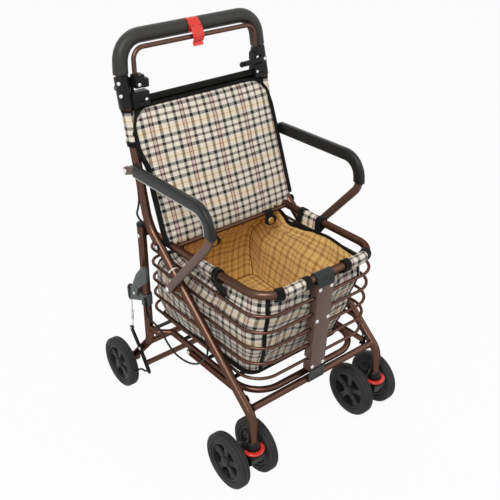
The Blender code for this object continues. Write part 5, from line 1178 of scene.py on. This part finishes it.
def build_rear_frame():
    """Both rear legs with their axle ends, joined by the lower cross bar."""
    made = Shell("rear_legs")
    for side in SIDES.values():
        x = side * LEG_X
        spot, out = Vector((x, REAR_AXLE_Y, WHEEL_RADIUS)), Vector((side, 0, 0))
        corners = [((x, LEG_Y, LEG_TOP), 0), ((x, LEG_Y, LEG_BEND_Z), TUBE_BEND), (spot, 0)]
        made.sweep(rounded(corners), circle(TUBE_RADIUS, 32), PAINT, (1, 0, 0))
        made.turned(mirrored([(0.0125, 0.0122), (0.0118, 0.0135)]), spot, out, PAINT, 32)
        made.dome(spot - out * 0.0125, -out, 0.0075, 0.004, STEEL)
        made.rod(spot, spot + out * (REAR_WHEEL_X + 0.004 - LEG_X), AXLE_RADIUS, STEEL, 20)
        collar = REAR_WHEEL_X - HUB_WIDTH / 2 - 0.0006 - LEG_X
        made.rod(spot, spot + out * collar, 0.008, BLACK, 24, 0.0008)
        cap = [(-0.004, 0.0116), (-0.004, 0.0119), (0.001, 0.0119), (0.003, 0.0108), (0.004, 0.0085)]
        made.turned(cap, (x, LEG_Y, LEG_TOP), (0, 0, 1), BLACK, 32)
        made.dome((x + side * (TUBE_RADIUS - 0.0006), LEG_Y, RIM_REAR_Z), out, 0.0052, 0.003, WHITE_HEAD)
        pin = Vector((x, ARM_PIVOT_Y, ARM_PIVOT_Z))
        made.rod(pin, pin + out * (YOKE_X - 0.0026 - LEG_X), STUB_RADIUS, BLACK)
    reach = LEG_X - 0.004
    ends = [Vector((-reach, LEG_Y, LEG_BAR_Z)), Vector((reach, LEG_Y, LEG_BAR_Z))]
    made.sweep(ends, soft_box(0.008, 0.0056, 32, 0.6), PAINT)
    made.finish("basket", "rear_frame")


# The basket's metal
def rim_path():
    """The line of the basket's upper tube, from the left rear end round to the right one."""
    half = [
        ((RIM_FRONT_X, RIM_FRONT_Y, RIM_FRONT_Z), RIM_BEND),
        ((RIM_REAR_X, HINGE_BAR_Y, RIM_REAR_Z), 0),
        ((RIM_REAR_X, RIM_END_Y, RIM_REAR_Z), 0),
    ]
    return rounded(both_sides(half))


def wire_place(index):
    """How far forward a basket wire reaches, and its height."""
    share = index / (WIRE_COUNT - 1)
    return WIRE_TOP_Y + (WIRE_LOW_Y - WIRE_TOP_Y) * share, WIRE_TOP_Z - WIRE_PITCH * index


def build_basket_tubes():
    """The rim, the wires, the rail and the slats of the basket."""
    rim = Shell("rim_tube")
    rim.sweep(rim_path(), circle(RIM_RADIUS, 28), PAINT)
    for side in SIDES.values():
        x = side * RIM_REAR_X
        leg_inner = side * (LEG_X - TUBE_RADIUS - GAP)
        rim.rod((x, LEG_Y, RIM_REAR_Z), (leg_inner, LEG_Y, RIM_REAR_Z), STUB_RADIUS, PAINT)
        tube_inner = side * (slope_point(1, FOLD_Z).x - TUBE_RADIUS - GAP)
        rim.rod((x, FOLD_Y, FOLD_Z), (tube_inner, FOLD_Y, FOLD_Z), STUB_RADIUS, BLACK)
        cap = [(-0.002, 0.01), (0.0015, 0.01), (0.003, 0.0085)]
        rim.turned(cap, (x, RIM_END_Y, RIM_REAR_Z), (0, 1, 0), BLACK, 28)
    reach = RIM_REAR_X - 0.003
    rim.rod((-reach, HINGE_BAR_Y, RIM_REAR_Z), (reach, HINGE_BAR_Y, RIM_REAR_Z), HINGE_BAR_RADIUS, PAINT)
    outline = slot_outline((HINGE_BAR_Y, RIM_REAR_Z), (FLAP_Y, FLAP_Z), 0.0032, 6)
    for x in LUG_XS:
        rim.plate(outline, (x, 0, 0), 0.0042, PAINT, 0.0004)
    rim.finish("basket", "basket_rim")
    for index in range(WIRE_COUNT):
        front, z = wire_place(index)
        half = [((WIRE_X, front, z), WIRE_FRONT_BEND), ((WIRE_X, WIRE_REAR_Y, z), WIRE_REAR_BEND)]
        wire = Shell(f"wire_loop_{index + 1}")
        wire.sweep(rounded(both_sides(half), closed=True), circle(WIRE_RADIUS, 16), PAINT, closed=True)
        wire.finish("basket", f"basket_wire_{index + 1}")
    half = [
        ((RAIL_X, RAIL_Y, RAIL_Z), RAIL_BEND),
        ((RAIL_X, RAIL_STEP_Y, RAIL_Z), 0.012),
        ((LEG_X, RAIL_STEP_Y + 0.026, RAIL_Z), 0.012),
        ((LEG_X, RAIL_REAR, RAIL_Z), 0),
    ]
    rail = Shell("floor_rail")
    rail.sweep(rounded(both_sides(half)), circle(RAIL_RADIUS, 28), PAINT)
    for y in SLAT_YS:
        half = Vector(((RAIL_X if y < RAIL_STEP_Y else LEG_X) - 0.004, SLAT_HALF, SLAT_LIFT))
        middle = Vector((0, y, RAIL_Z))
        rail.block(middle - half, middle + half, BLACK, 0.0005)
    for side in SIDES.values():
        z = RAIL_Z - 0.004
        rail.rod((side * RAIL_X, STAY_PIVOT[0], z), (side * 0.1827, STAY_PIVOT[0], z), AXLE_RADIUS, STEEL)
    rail.finish("basket", "basket_rail")


# Seat, back band and bag
def flap_half(side, along):
    """Half the cushion's width on one side at a distance from the hinge, with round upper corners."""
    plain = between(FLAP_SIDES[side], along)
    left = FLAP_REACH - along
    if left < FLAP_CORNER:
        plain -= FLAP_CORNER - math.sqrt(max(0.0, FLAP_CORNER**2 - (FLAP_CORNER - left) ** 2))
    return plain


def flap_point(x, along, lift):
    """A point on the flap: its place across, its distance from the hinge and its height off the plane."""
    return HINGE + RISE * along + FACE * lift + Vector((x, 0, 0))


def flap_lift(x, along, sign):
    """How far the cushion's face stands off its middle plane, with its crown and soft waves."""
    half = flap_half(1 if x > 0 else -1, along)
    foot, top = along - FLAP_FOOT, FLAP_REACH - along
    near = max(0.0, min(half - abs(x), top, foot * 1.3))
    edge = math.sqrt(max(0.0, 1 - (1 - min(1.0, near / 0.018)) ** 2))
    a, b = x / half, 2 * foot / (FLAP_REACH - FLAP_FOOT) - 1
    swell = (1 - a**4) * (1 - abs(b) ** 3.5)
    pinch = 1 - 0.62 * max(0.0, 1 - foot / 0.03)
    wave = lump(x * 9, along * 10, 2.3 + sign) * 0.0026
    wave += lump(x * 24 + along * 12, along * 22 - x * 9, 5.1 + sign) * 0.0012
    crease = math.exp(-((x + 0.15 - (0.27 - along) * 0.35) / 0.014) ** 2)
    wave -= 0.0022 * crease * max(0.0, 1 - abs(along - 0.22) / 0.11)
    return sign * pinch * (FLAP_EDGE * edge + FLAP_CROWN * swell + wave * edge)


def build_flap():
    """The padded checked seat flap with soft waves, its black piping and its hem."""
    made = Shell("seat_cushion")
    for sign in (1, -1):
        lines, coords = [], []
        for row in range(FLAP_ROWS + 1):
            along = FLAP_FOOT + (FLAP_REACH - FLAP_FOOT) * (1 - math.cos(math.pi * row / FLAP_ROWS)) / 2
            low, high = -flap_half(-1, along), flap_half(1, along)
            line, places = [], []
            for column in range(FLAP_COLUMNS + 1):
                x = low + (high - low) * (1 - math.cos(math.pi * column / FLAP_COLUMNS)) / 2
                line.append(flap_point(x, along, FLAP_MIDDLE + flap_lift(x * 0.9999, along, sign)))
                lag = 0.002 * math.sin(along * 14 + x * 6)
                across = (x - WARP_PAIR_X) * WARP_TIGHT + 0.0111 + lag
                up = (along - WEFT_GOLD_AT) * WEFT_TIGHT + 0.008 + 0.0012 * math.sin(x * 17 + 1)
                places.append((across, up, 0.0))
            lines.append(line)
            coords.append(places)
        made.lattice(lines, CHECK, around=False, coords=coords)
    bmesh.ops.remove_doubles(made.shape, verts=made.shape.verts, dist=0.00002)
    cushion = made.finish("seat", "seat_flap", sharp=70)
    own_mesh(cushion)
    piping = Shell("seat_piping")
    border = spread(-0.003, FLAP_REACH - FLAP_CORNER, 40)[:-1]
    turns = [FLAP_REACH - FLAP_CORNER * (1 - math.sin(math.pi / 2 * step / 16)) for step in range(17)]
    left = [flap_point(-flap_half(-1, along) - PIPING_OUT, along, FLAP_MIDDLE) for along in border + turns]
    turns = border[3:] + turns
    right = [flap_point(flap_half(1, along) + PIPING_OUT, along, FLAP_MIDDLE) for along in turns]
    across = spread(-flap_half(-1, FLAP_REACH), flap_half(1, FLAP_REACH), 20)[1:-1]
    level = [flap_point(x, FLAP_REACH + 0.0015, FLAP_MIDDLE) for x in across]
    for index in range(41, 56):
        left[index] += RISE * 0.0001 * (index - 41)
    path, scales = eased(even(left[:-1] + level + right[-2::-1], 0.005), 0.005, 0.4)
    piping.sweep(path, soft_box(0.0078, 0.0052, 28, 0.7), TAPE, tuple(FACE), scales=scales)
    knot = flap_point(-(flap_half(-1, KNOT_AT) + 0.006), KNOT_AT, FLAP_MIDDLE + 0.002)
    piping.rod(knot - RISE * 0.006, knot + RISE * 0.006, 0.0052, TAPE, 20, 0.003)
    across = spread(-flap_half(-1, 0), flap_half(1, 0), 32)
    hem = [flap_point(x, FLAP_FOOT + 0.0005, FLAP_MIDDLE) for x in across]
    piping.sweep(hem, soft_box(0.0042, 0.002, 16, 0.7), TAPE, tuple(FACE))
    edge = piping.finish("seat")
    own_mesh(edge)


def build_back_band():
    """The covered bar between the brackets and the checked cloth stretched round both posts below it."""
    bar = Shell("back_bar_cover")
    ends = [Vector((x, BRAKE_Y, BAND_Z)) for x in BAND_ENDS]
    bar.sweep(even(ends, 0.012), circle(BAND_RADIUS, 28), TAPE)
    cover = bar.finish("frame", "back_band_bar")
    cloth = Shell("back_band_cloth")
    for sheet, grow, low, high in (
        (CHECK, 0.003, BAND_LOW, BAND_HIGH - 0.004),
        (TAPE, 0.004, BAND_LOW - 0.003, BAND_LOW + 0.009),
        (TAPE, 0.004, BAND_HIGH - 0.004, BAND_HIGH + 0.0012),
    ):
        rows, coords = [], []
        for level in spread(low, high, max(2, round((high - low) / 0.006))):
            outline = band_outline(post_point(-1, level), post_point(1, level), TUBE_RADIUS + grow, level)
            walked, places = 0.03, []
            for before, point in zip([outline[0]] + outline, outline):
                walked += math.dist(before, point)
                places.append((walked, level, 0.0))
            rows.append([Vector((x, y, level)) for x, y in outline])
            coords.append(places)
        cloth.lattice(rows, sheet, caps=False, coords=coords)
    rows = []
    for y, z in BAND_HEM:
        front = [(x, y, z) for x in BAND_ENDS]
        rows.append(front + [(x, y + CLOTH_THICK, z) for x in BAND_ENDS[::-1]])
    cloth.lattice(rows, TAPE)
    cloth.finish("frame", "post_sleeve_left", "post_sleeve_right")


def band_outline(left, right, grow, level):
    """One level of the band: round the outer side of each post and flat behind both."""
    points = arc(left, grow, 90, 230, 16)
    points += [(x, left.y + grow - 0.0016) for x in spread(left.x + 0.016, right.x - 0.016, 24)[1:-1]]
    points += arc(right, grow, -140, 230, 16)
    for step, x in enumerate(spread(right.x, left.x, 24)[1:-1], 1):
        sag = 0.0012 * math.sin(math.pi * step / 24)
        sag += lump(x * 14, level * 20, 1.0) * 0.0008
        points.append((x, left.y + grow + sag))
    return points


def bag_ring(share):
    """One level of the bag as (x, y, outward) round a four-sided shape with round corners."""
    names = ("half", "front_right", "front", "rear", "rear_left", "rear_right")
    half, front_right, front, rear, left, right = (between(BAG_SHAPE[name], share) for name in names)
    near, far = between(BAG_SHAPE["front_corner"], share), between(BAG_SHAPE["rear_corner"], share)
    middles = (
        (right - far, rear - far, far),
        (far - left, rear - far, far),
        (near - half, front + near, near),
        (front_right - near, front + near, near),
    )
    corners = []
    for quarter, (x, y, corner) in enumerate(middles):
        turns = [math.pi / 2 * (quarter + step / 9) for step in range(10)]
        outs = [(math.cos(turn), math.sin(turn)) for turn in turns]
        corners.append([(x + corner * out[0], y + corner * out[1], out) for out in outs])
    ring = []
    for here, following in zip(corners, corners[1:] + corners[:1]):
        x, y, out = here[-1]
        end_x, end_y, _ = following[0]
        side = zip(spread(x, end_x, 22), spread(y, end_y, 22))
        ring += here + [(*place, out) for place in side][1:-1]
    return ring


def bag_top_z(x, y, out):
    """The height of the bag's upper edge, which hangs between the loops."""
    side = between(RIGHT_EDGE if x > 0 else LEFT_EDGE, y)
    toward_front, toward_rear = max(0.0, -out[1]) ** 2, max(0.0, out[1]) ** 2
    front = between(FRONT_EDGE, x) * toward_front
    return side * (1 - toward_front - toward_rear) + front + BAG_REAR_Z * toward_rear


def bag_floor_z(y):
    """The height of the bag's floor, which sags towards the rear."""
    return between(BAG_FLOOR, y)


def bag_point(index, share, inset):
    """A point of the bag's wall: its place round the ring and its share of the height."""
    x, y, out = BAG_RINGS[round(share * BAG_STEPS)][index]
    top = BAG_TOP_EDGE[index]
    z = top + (bag_floor_z(BAG_RINGS[-1][index][1]) - top) * share
    hold = math.sin(math.pi * share) ** 0.5 if 0 < share < 1 else 0.0
    fold = lump(x * 8, y * 8, z * 6) * 0.007
    fold += lump(x * 21, y * 21, z * 12) * 0.0032
    fold += lump(x * 48 + z * 20, y * 48, z * 26 - x * 20) * 0.0014
    full = math.sin(math.pi * share) * 0.003
    return Vector((x, y, z)) + Vector((*out, 0)) * (full + fold * hold - inset)


def bag_seam(ends, inset):
    """A line down the bag's wall from one place round the ring to another."""
    points = []
    for step, place in enumerate(spread(*ends, BAG_STEPS)):
        sides = [bag_point(math.floor(place) + side, step / BAG_STEPS, inset) for side in (0, 1)]
        points.append(sides[0].lerp(sides[1], place % 1))
    return points


BAG_RINGS = [bag_ring(step / BAG_STEPS) for step in range(BAG_STEPS + 1)]
BAG_TOP_EDGE = [bag_top_z(x, y, out) for x, y, out in BAG_RINGS[0]]


def build_bag():
    """The cloth bag: checked outside, amber inside, with bound edges and corner seams."""
    made = Shell("cloth_bag")
    count = len(BAG_RINGS[0])
    girth = [0.0]
    for before, here in zip(BAG_RINGS[4], BAG_RINGS[4][1:]):
        girth.append(girth[-1] + math.dist(here[:2], before[:2]))
    middle = (BAG_SHAPE["front"][-1][1] + BAG_SHAPE["rear"][-1][1]) / 2
    for sheet, inset in ((CHECK, 0.0), (LINING, CLOTH_THICK)):
        rows, coords = [], []
        fall = [0.0] * count
        for step in range(BAG_STEPS + 1):
            rows.append([bag_point(index, step / BAG_STEPS, inset) for index in range(count)])
            if step:
                fall = [down + (a - b).length for down, a, b in zip(fall, rows[-1], rows[-2])]
            drift = 0.01 * math.sin(step / BAG_STEPS * 4) if sheet is LINING else 0.0
            coords.append([(place + drift, down, 0.0) for place, down in zip(girth, fall)])
        made.lattice(rows, sheet, caps=False, coords=coords)
        edge = rows[-1]
        rows, coords = [], []
        for step in range(FLOOR_STEPS):
            grow = 1 - step / FLOOR_STEPS
            ring = []
            for point in edge:
                x, y = point.x * grow, middle + (point.y - middle) * grow
                sag = lump(x * 8, y * 8, 0.4) * 0.007 * (1 - grow**4)
                z = bag_floor_z(y) * (1 - grow**4) + point.z * grow**4
                ring.append(Vector((x, y, z - 0.006 * (1 - grow**2) + sag + inset)))
            rows.append(ring)
            coords.append([(point.x, point.y, 0.0) for point in ring])
        made.lattice(rows, sheet, caps=False, coords=coords)
        made.fan(rows[-1], sheet)
    made.finish("basket", "bag", sharp=60)
    bound = Shell("bag_binding")
    edge = [bag_point(index, 0.0, CLOTH_THICK / 2) for index in range(count)]
    wide = [1.0 + 0.7 * max(0.0, out[0]) * max(0.0, 1 - abs(y) / 0.07) for _, y, out in BAG_RINGS[0]]
    bound.sweep(edge, soft_box(0.0046, 0.002, 16, 0.7), TAPE, closed=True, scales=wide)
    foot = [bag_point(index, 1.0, -0.0024) - Vector((0, 0, 0.0015)) for index in range(count)]
    thick = [1.0 + 0.8 * max(0.0, -out[0]) for _, _, out in BAG_RINGS[-1]]
    bound.sweep(foot, circle(0.0034, 12), TAPE, closed=True, scales=thick)
    for ends in BAG_SEAMS:
        seam = bag_seam(ends, -0.0006)
        out = BAG_RINGS[0][round(ends[0])][2]
        bound.sweep(seam, soft_box(0.0014, 0.005, 16, 0.7), TAPE, (out[0], out[1], 0))
    bound.finish("basket")
    inner = Shell("lining_seams")
    for ends in (BAG_SEAMS[0], BAG_SEAMS[3]):
        seam = bag_seam(ends, CLOTH_THICK + 0.0004)[4:]
        inner.sweep(seam, circle(SEAM_RADIUS, 8), LINING_SEAM, (0, -1, 0))
    foot = [bag_point(index, 0.995, CLOTH_THICK + 0.0006) + Vector((0, 0, 0.001)) for index in range(count)]
    inner.sweep(foot, circle(SEAM_RADIUS, 8), LINING_SEAM, closed=True)
    inner.finish("basket")


def wrap_section(grow, thick=0.0012):
    """The section of a cloth loop round the rim, as (up, outward) places, closed into a thin shell."""
    radius = RIM_RADIUS + 0.0008 + grow
    line = [(-0.021, -0.015), (-0.01, -0.0128 - grow * 0.5)] + arc((0, 0), radius, -90, 180, 12)
    line += [(-0.007, radius * 0.98), (-0.015, radius * 0.55), (-0.026, -0.01)]
    inner = []
    for index, (up, out) in enumerate(line):
        before, after = line[max(0, index - 1)], line[min(len(line) - 1, index + 1)]
        rise, run = after[0] - before[0], after[1] - before[1]
        size = math.hypot(rise, run)
        inner.append((up - run / size * thick, out + rise / size * thick))
    return line + inner[::-1]


def first_part(path, reach):
    """The start of a path, up to the first point past a reach."""
    part, walked = [path[0]], 0.0
    for before, here in zip(path, path[1:]):
        walked += (here - before).length
        part.append(here)
        if walked > reach:
            break
    return part


def build_loops():
    """Checked loops round the rim with thick black ends, which carry the bag, and the band on the left."""
    path = rim_path()
    made = Shell("rim_loops")
    for axis, start, end, backward in LOOP_SPANS:
        route = path[::-1] if backward else path
        span = even(stretch(route, (axis, start), (axis, end))[:: -1 if backward else 1], LOOP_STEP)
        made.sweep(span[1:-1], wrap_section(0.0006), CHECK)
        for band in (first_part(span, LOOP_END), first_part(span[::-1], LOOP_END)[::-1]):
            made.sweep(band, wrap_section(0.0032, 0.0034), TAPE)
    made.strap([((-0.1772, y, z), half) for y, z, half in HANGING_BAND], 0.0016, TAPE, (0, 0.42, 0.91))
    made.finish("basket")


def build_snap_tabs():
    """Black tabs round the hinge bar with brass snaps, which hold the bag's rear edge."""
    made = Shell("snap_tabs")
    wrap = [(y, z, 0.013) for y, z in arc((HINGE_BAR_Y, RIM_REAR_Z), 0.0068, -60, 240, 10)]
    wrap += [(0.037, 0.483, 0.0135), (0.0335, 0.477, 0.0175), (0.0315, 0.4705, 0.0205)]
    wrap += [(0.03, 0.465, 0.0165), (0.0295, 0.46, 0.007)]
    for x in SNAP_XS:
        made.strap([((x, y, z), half) for y, z, half in wrap], 0.0014, WEB)
        made.turned(SNAP_LINE, (x, 0.0305, 0.471), (0, -1, 0.12), BRASS, 32)
    made.finish("basket")


# Front channel, stays, brake parts and cable
def plate_face(z):
    """How far forward the front channel's face is at a height."""
    share = (PLATE_TOP - z) / (PLATE_TOP - PLATE_LOW)
    return PLATE_TOP_Y + (PLATE_LOW_Y - PLATE_TOP_Y) * share


def build_front_plate():
    """The brown channel down the basket's front, with its rim hook, its catch and rivets."""
    made = Shell("front_channel")
    half, inner, wall = PLATE_HALF, PLATE_HALF - 0.0018, 0.0018
    stations = [(PLATE_TOP, PLATE_DEEP), (PLATE_TOP - 0.004, PLATE_DEEP)]
    for index in range(WIRE_COUNT):
        y, z = wire_place(index)
        notch = y - WIRE_RADIUS - 0.0006 - plate_face(z)
        stations += [(z + 0.0048, PLATE_DEEP), (z + 0.0042, notch)]
        stations += [(z - 0.0042, notch), (z - 0.0048, PLATE_DEEP)]
    stations += [(PLATE_LOW + 0.003, PLATE_DEEP), (PLATE_LOW, PLATE_DEEP)]
    rows = []
    for z, deep in stations:
        section = mirrored([(half, deep), (half, 0.0024), (half - 0.0007, 0.0007), (half - 0.0024, 0)])
        section += mirrored([(inner, deep), (inner, 0.0032), (inner - 0.0012, wall)])[::-1]
        rows.append([(PLATE_X + a, plate_face(z) + b, z) for a, b in section])
    made.lattice(rows, FLAT_PAINT_AND_ARM_HIGHLIGHT)
    for z in PLATE_RIVETS:
        for shift in (-0.7 * half, 0.7 * half):
            made.dome((PLATE_X + shift, plate_face(z) + 0.0004, z), (0, -1, 0), 0.0048, 0.0024, WHITE_HEAD)
    made.finish("basket", "front_plate")
    hook = Shell("rim_hook")
    line = [(y, z, 0.0255) for y, z in arc((RIM_FRONT_Y, RIM_FRONT_Z), RIM_RADIUS + 0.0017, -30, 210, 24)]
    line += HOOK_TAIL
    hook.strap([((PLATE_X, y - 0.0006, z), wide) for y, z, wide in line], 0.0028, HOOK_GREY, edge=0.0009)
    hook.finish("basket", "plate_hook")
    catch = Shell("tube_catch")
    line = CATCH_ARM + arc((CROSS_Y, CROSS_Z), 0.0102, 165, 30, 8)
    catch.strap([((PLATE_X, y, z), 0.025) for y, z in line], 0.0028, HOOK_GREY, edge=0.0009)
    catch.finish("basket", "plate_catch")


def build_stays():
    """The flat bars under the rail and the black catches on the main tubes."""
    for label, side in SIDES.items():
        made = Shell(f"rail_stay_{label}")
        x, out = side * STAY_X, (side, 0, 0)
        made.plate(slot_outline(STAY_PIVOT, STAY_FRONT, 0.008, 14), (x, 0, 0), 0.003, PAINT, 0.0007)
        made.dome((x + side * 0.0015, *STAY_PIVOT), out, 0.0052, 0.0026, STEEL)
        made.finish("basket", f"side_stay_{label}")
        catch = Shell(f"stay_hook_{label}")
        hold = slope_point(side, STAY_CATCH_Z)
        wall = hold.x - side * (TUBE_RADIUS + GAP)
        outline = slot_outline((hold.y, hold.z), (hold.y, 0.207), 0.0065, 12)
        catch.plate(outline, (wall - side * 0.0009, 0, 0), 0.0018, BLACK, 0.0004)
        lip = side * (STAY_X - 0.0045)
        catch.block((lip, hold.y - 0.0062, 0.2048), (wall, hold.y + 0.0062, 0.2093), BLACK, 0.0008)
        catch.dome((wall - side * 0.0018, hold.y, hold.z), (-side, 0, 0), 0.0036, 0.0018, STEEL)
        catch.finish("frame", f"stay_catch_{label}")


def build_yoke():
    """The two brake arms with their shoes and the flat cross bar between them."""
    made = Shell("brake_arms")
    pivot = (ARM_PIVOT_Y, ARM_PIVOT_Z)
    for side in SIDES.values():
        x, out = side * YOKE_X, (side, 0, 0)
        made.plate(slot_outline(pivot, YOKE_TIP, 0.0065, 14), (x, 0, 0), 0.0045, BLACK, 0.0008)
        made.plate(slot_outline(pivot, (SHOE_ARM_Y, SHOE_Z), 0.0075, 14), (x, 0, 0), 0.0044, BLACK, 0.0008)
        corners = [
            ((x, SHOE_ARM_Y + 0.002, SHOE_Z), 0),
            ((side * (YOKE_X + 0.008), SHOE_ARM_Y + 0.006, SHOE_Z), 0.006),
            ((side * (REAR_WHEEL_X - TYRE_WIDTH / 2), SHOE_Y, SHOE_Z), 0.008),
            ((side * (REAR_WHEEL_X + TYRE_WIDTH / 2 - 0.003), SHOE_Y, SHOE_Z), 0),
        ]
        made.sweep(rounded(corners), circle(0.0025, 16), BLACK)
        made.dome((x + side * 0.0022, *pivot), out, 0.005, 0.0028, STEEL)
        made.dome((x + side * 0.0022, *YOKE_TIP), out, 0.0034, 0.002, STEEL)
    ends = [Vector((side * YOKE_X, *YOKE_BAR)) for side in SIDES.values()]
    made.sweep(ends, soft_box(0.0075, 0.0045, 28, 0.6), PAINT)
    made.finish("brake_yoke", "brake_yoke")


def build_parking_brake():
    """The bracket, knob and paddle on the left leg, and the sprung rod below them."""
    x, pivot = -LEG_X, Vector((-LEG_X, *PADDLE_PIVOT))
    made = Shell("leg_bracket")
    made.plate(BRACKET_CHEEK, (x, 0, 0), CHEEK_WIDE, GREY, 0.0018, 3)
    wrap = mirrored([(0.016, 0.0113), (0.016, 0.0133), (0.0152, 0.014)])
    made.turned(wrap, (x, LEG_Y, LEG_WRAP_Z), (0, 0, 1), GREY, 40, closed=True)
    made.turned(KNOB_LINE, (x, KNOB_Y, KNOB_Z), (0, 0, 1), BLACK, 32)
    ferrule = [(0, 0.003), (0.0006, 0.004), (0.006, 0.004), (0.007, 0.0033), (0.016, 0.0033)]
    ferrule += [(0.0172, 0.004), (0.022, 0.004)]
    made.turned(ferrule, Vector(CABLE_POINTS[-1]) + Vector((0, 0, GAP)), (0, 0, 1), BLACK, 24)
    outer = pivot - Vector((0.0099, 0, 0))
    made.rod(pivot, outer, AXLE_RADIUS, GREY, 24, 0.0005)
    made.dome((x - 0.0048, 0.224, 0.3015), (-1, 0, 0), 0.0042, 0.0022, STEEL)
    made.finish("basket", "park_bracket")
    paddle = Shell("park_paddle")
    paddle.plate(PADDLE, (x - PADDLE_OUT, 0, 0), PADDLE_WIDE, GREY, 0.0022, 3)
    paddle.dome(pivot - Vector((0.0203, 0, 0)), (-1, 0, 0), 0.0042, 0.0022, STEEL)
    paddle.rod(outer, pivot - Vector((PADDLE_OUT, 0, 0)), 0.0045, GREY, 20)
    paddle.finish("park_lever", "park_lever")
    pull = Shell("sprung_rod")
    top = Vector((x, KNOB_Y, KNOB_Z - 0.0193))
    foot = Vector((0.0044 - YOKE_X, YOKE_TIP[0], YOKE_TIP[1] + 0.001))
    corner = top - Vector((0, 0, 0.02))
    pull.sweep(rounded([(top, 0), (corner, 0.01), (foot, 0)]), circle(0.0016, 16), STEEL, (1, 0, 0))
    pull.turned(mirrored([(0.0019, 0.0042), (0.0015, 0.0047)]), foot, (1, 0, 0), STEEL, 24)
    along = (foot - corner).normalized()
    first = along.cross(Vector((1, 0, 0))).normalized()
    second = along.cross(first)
    coil = []
    for step in range(SPRING_TURNS * 14 + 1):
        turn = TAU * step / 14
        place = corner + along * (0.014 + SPRING_PITCH * step / 14)
        coil.append(place + (first * math.cos(turn) + second * math.sin(turn)) * SPRING_RADIUS)
    pull.sweep(coil, circle(0.0008, 8), STEEL, along)
    pull.finish("pull_rod", "pull_rod")


def build_ties():
    """The nylon tie on the left tube."""
    made = Shell("nylon_tie")
    middle, ahead = slope_point(-1, TIE_Z), slope_point(-1, TIE_Z - 0.01)
    ring = mirrored([(0.0013, 0.0113), (0.0013, 0.0122)])
    made.turned(ring, middle, ahead - middle, CLEAR, 32, closed=True)
    head, half = middle + Vector((-0.0125, -0.003, 0.001)), Vector((0.0025, 0.002, 0.002))
    made.block(head - half, head + half, CLEAR, 0.0006)
    made.rod(head, head + Vector((-0.004, -0.01, 0.006)), 0.0008, CLEAR, 10)
    made.finish("frame")


def build_cable():
    """The brake cable from the left bracket, down the tube and round to the left leg."""
    made = Shell("brake_cable_sheath")
    made.sweep(smooth_route(CABLE_POINTS), circle(CABLE_RADIUS, 14), SHEATH, (1, 0, 0))
    cable = made.finish(None, "brake_cable")
    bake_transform(cable)


# Studio
def aim(item, place, direction):
    """Puts a lamp or a camera at a place, turned the way it looks."""
    item.location = place
    item.rotation_mode = "QUATERNION"
    item.rotation_quaternion = direction.to_track_quat("-Z", "Y")


def seen_rays(tree):
    """1 for camera, glossy and transmission rays, which see the white of the studio."""
    ray = node(tree, "ShaderNodeLightPath").outputs
    either = math_node(tree, "MAXIMUM", ray["Is Camera Ray"], ray["Is Glossy Ray"])
    return math_node(tree, "MAXIMUM", either, ray["Is Transmission Ray"])


def build_floor():
    """A pale floor that looks white to the camera."""
    mesh = bpy.data.meshes.new("floor")
    mesh.from_pydata([(-6, -6, 0), (6, -6, 0), (6, 6, 0), (-6, 6, 0)], [], [(0, 1, 2, 3)])
    pale, tree = material("pale_floor")
    shader = tree.nodes["Principled BSDF"]
    feed(tree, shader, {"Base Color": (0.62, 0.62, 0.62, 1), "Roughness": 0.9, "Specular IOR Level": 0.0})
    share = math_node(tree, "MULTIPLY", seen_rays(tree), 0.95)
    glow = node(tree, "ShaderNodeEmission").outputs[0]
    mix = node(tree, "ShaderNodeMixShader", {0: share, 1: shader.outputs[0], 2: glow})
    feed(tree, tree.nodes["Material Output"], {"Surface": mix.outputs[0]})
    mesh.materials.append(pale)
    floor = add_object("floor", mesh)


def build_stage():
    """The floor, even soft light, three lamps and a camera at the photograph's place."""
    build_floor()
    world = bpy.data.worlds.new("studio")
    bpy.context.scene.world = world
    world.use_nodes = True
    tree = world.node_tree
    tree.nodes.clear()
    skies = []
    for strength in (0.5, 1.0):
        sky = node(tree, "ShaderNodeBackground", {"Color": (1, 1, 1, 1), "Strength": strength})
        skies.append(sky.outputs[0])
    mix = node(tree, "ShaderNodeMixShader", {0: seen_rays(tree), 1: skies[0], 2: skies[1]})
    node(tree, "ShaderNodeOutputWorld", {"Surface": mix.outputs[0]})
    for name, place, size, power in LAMPS:
        lamp = bpy.data.lights.new(name, "AREA")
        lamp.energy = power
        lamp.size = size
        aim(add_object(name, lamp), place, Vector((0, 0, LAMP_AIM_Z)) - Vector(place))
    lens = bpy.data.cameras.new("camera")
    lens.lens = CAMERA_LENS
    lens.sensor_width = 36.0
    level = math.cos(CAMERA_ELEVATION)
    back = (math.sin(CAMERA_AZIMUTH) * level, -math.cos(CAMERA_AZIMUTH) * level, math.sin(CAMERA_ELEVATION))
    camera = add_object("camera", lens)
    aim(camera, CAMERA_PLACE, -Vector(back))
    bpy.context.scene.camera = camera


build_cable()
build_main_tubes()
build_handle()
build_brake_bar()
build_armrests()
build_wheels()
build_rear_frame()
build_basket_tubes()
build_flap()
build_back_band()
build_bag()
build_loops()
build_snap_tabs()
for name, way in SIDES.items():
    build_bracket(name, way)
    build_socket(name, way)
    build_castor(name, way)
build_release_lever()
build_clip()
build_front_plate()
build_stays()
build_yoke()
build_parking_brake()
build_ties()
build_stage()
bpy.context.scene.view_settings.view_transform = "Standard"
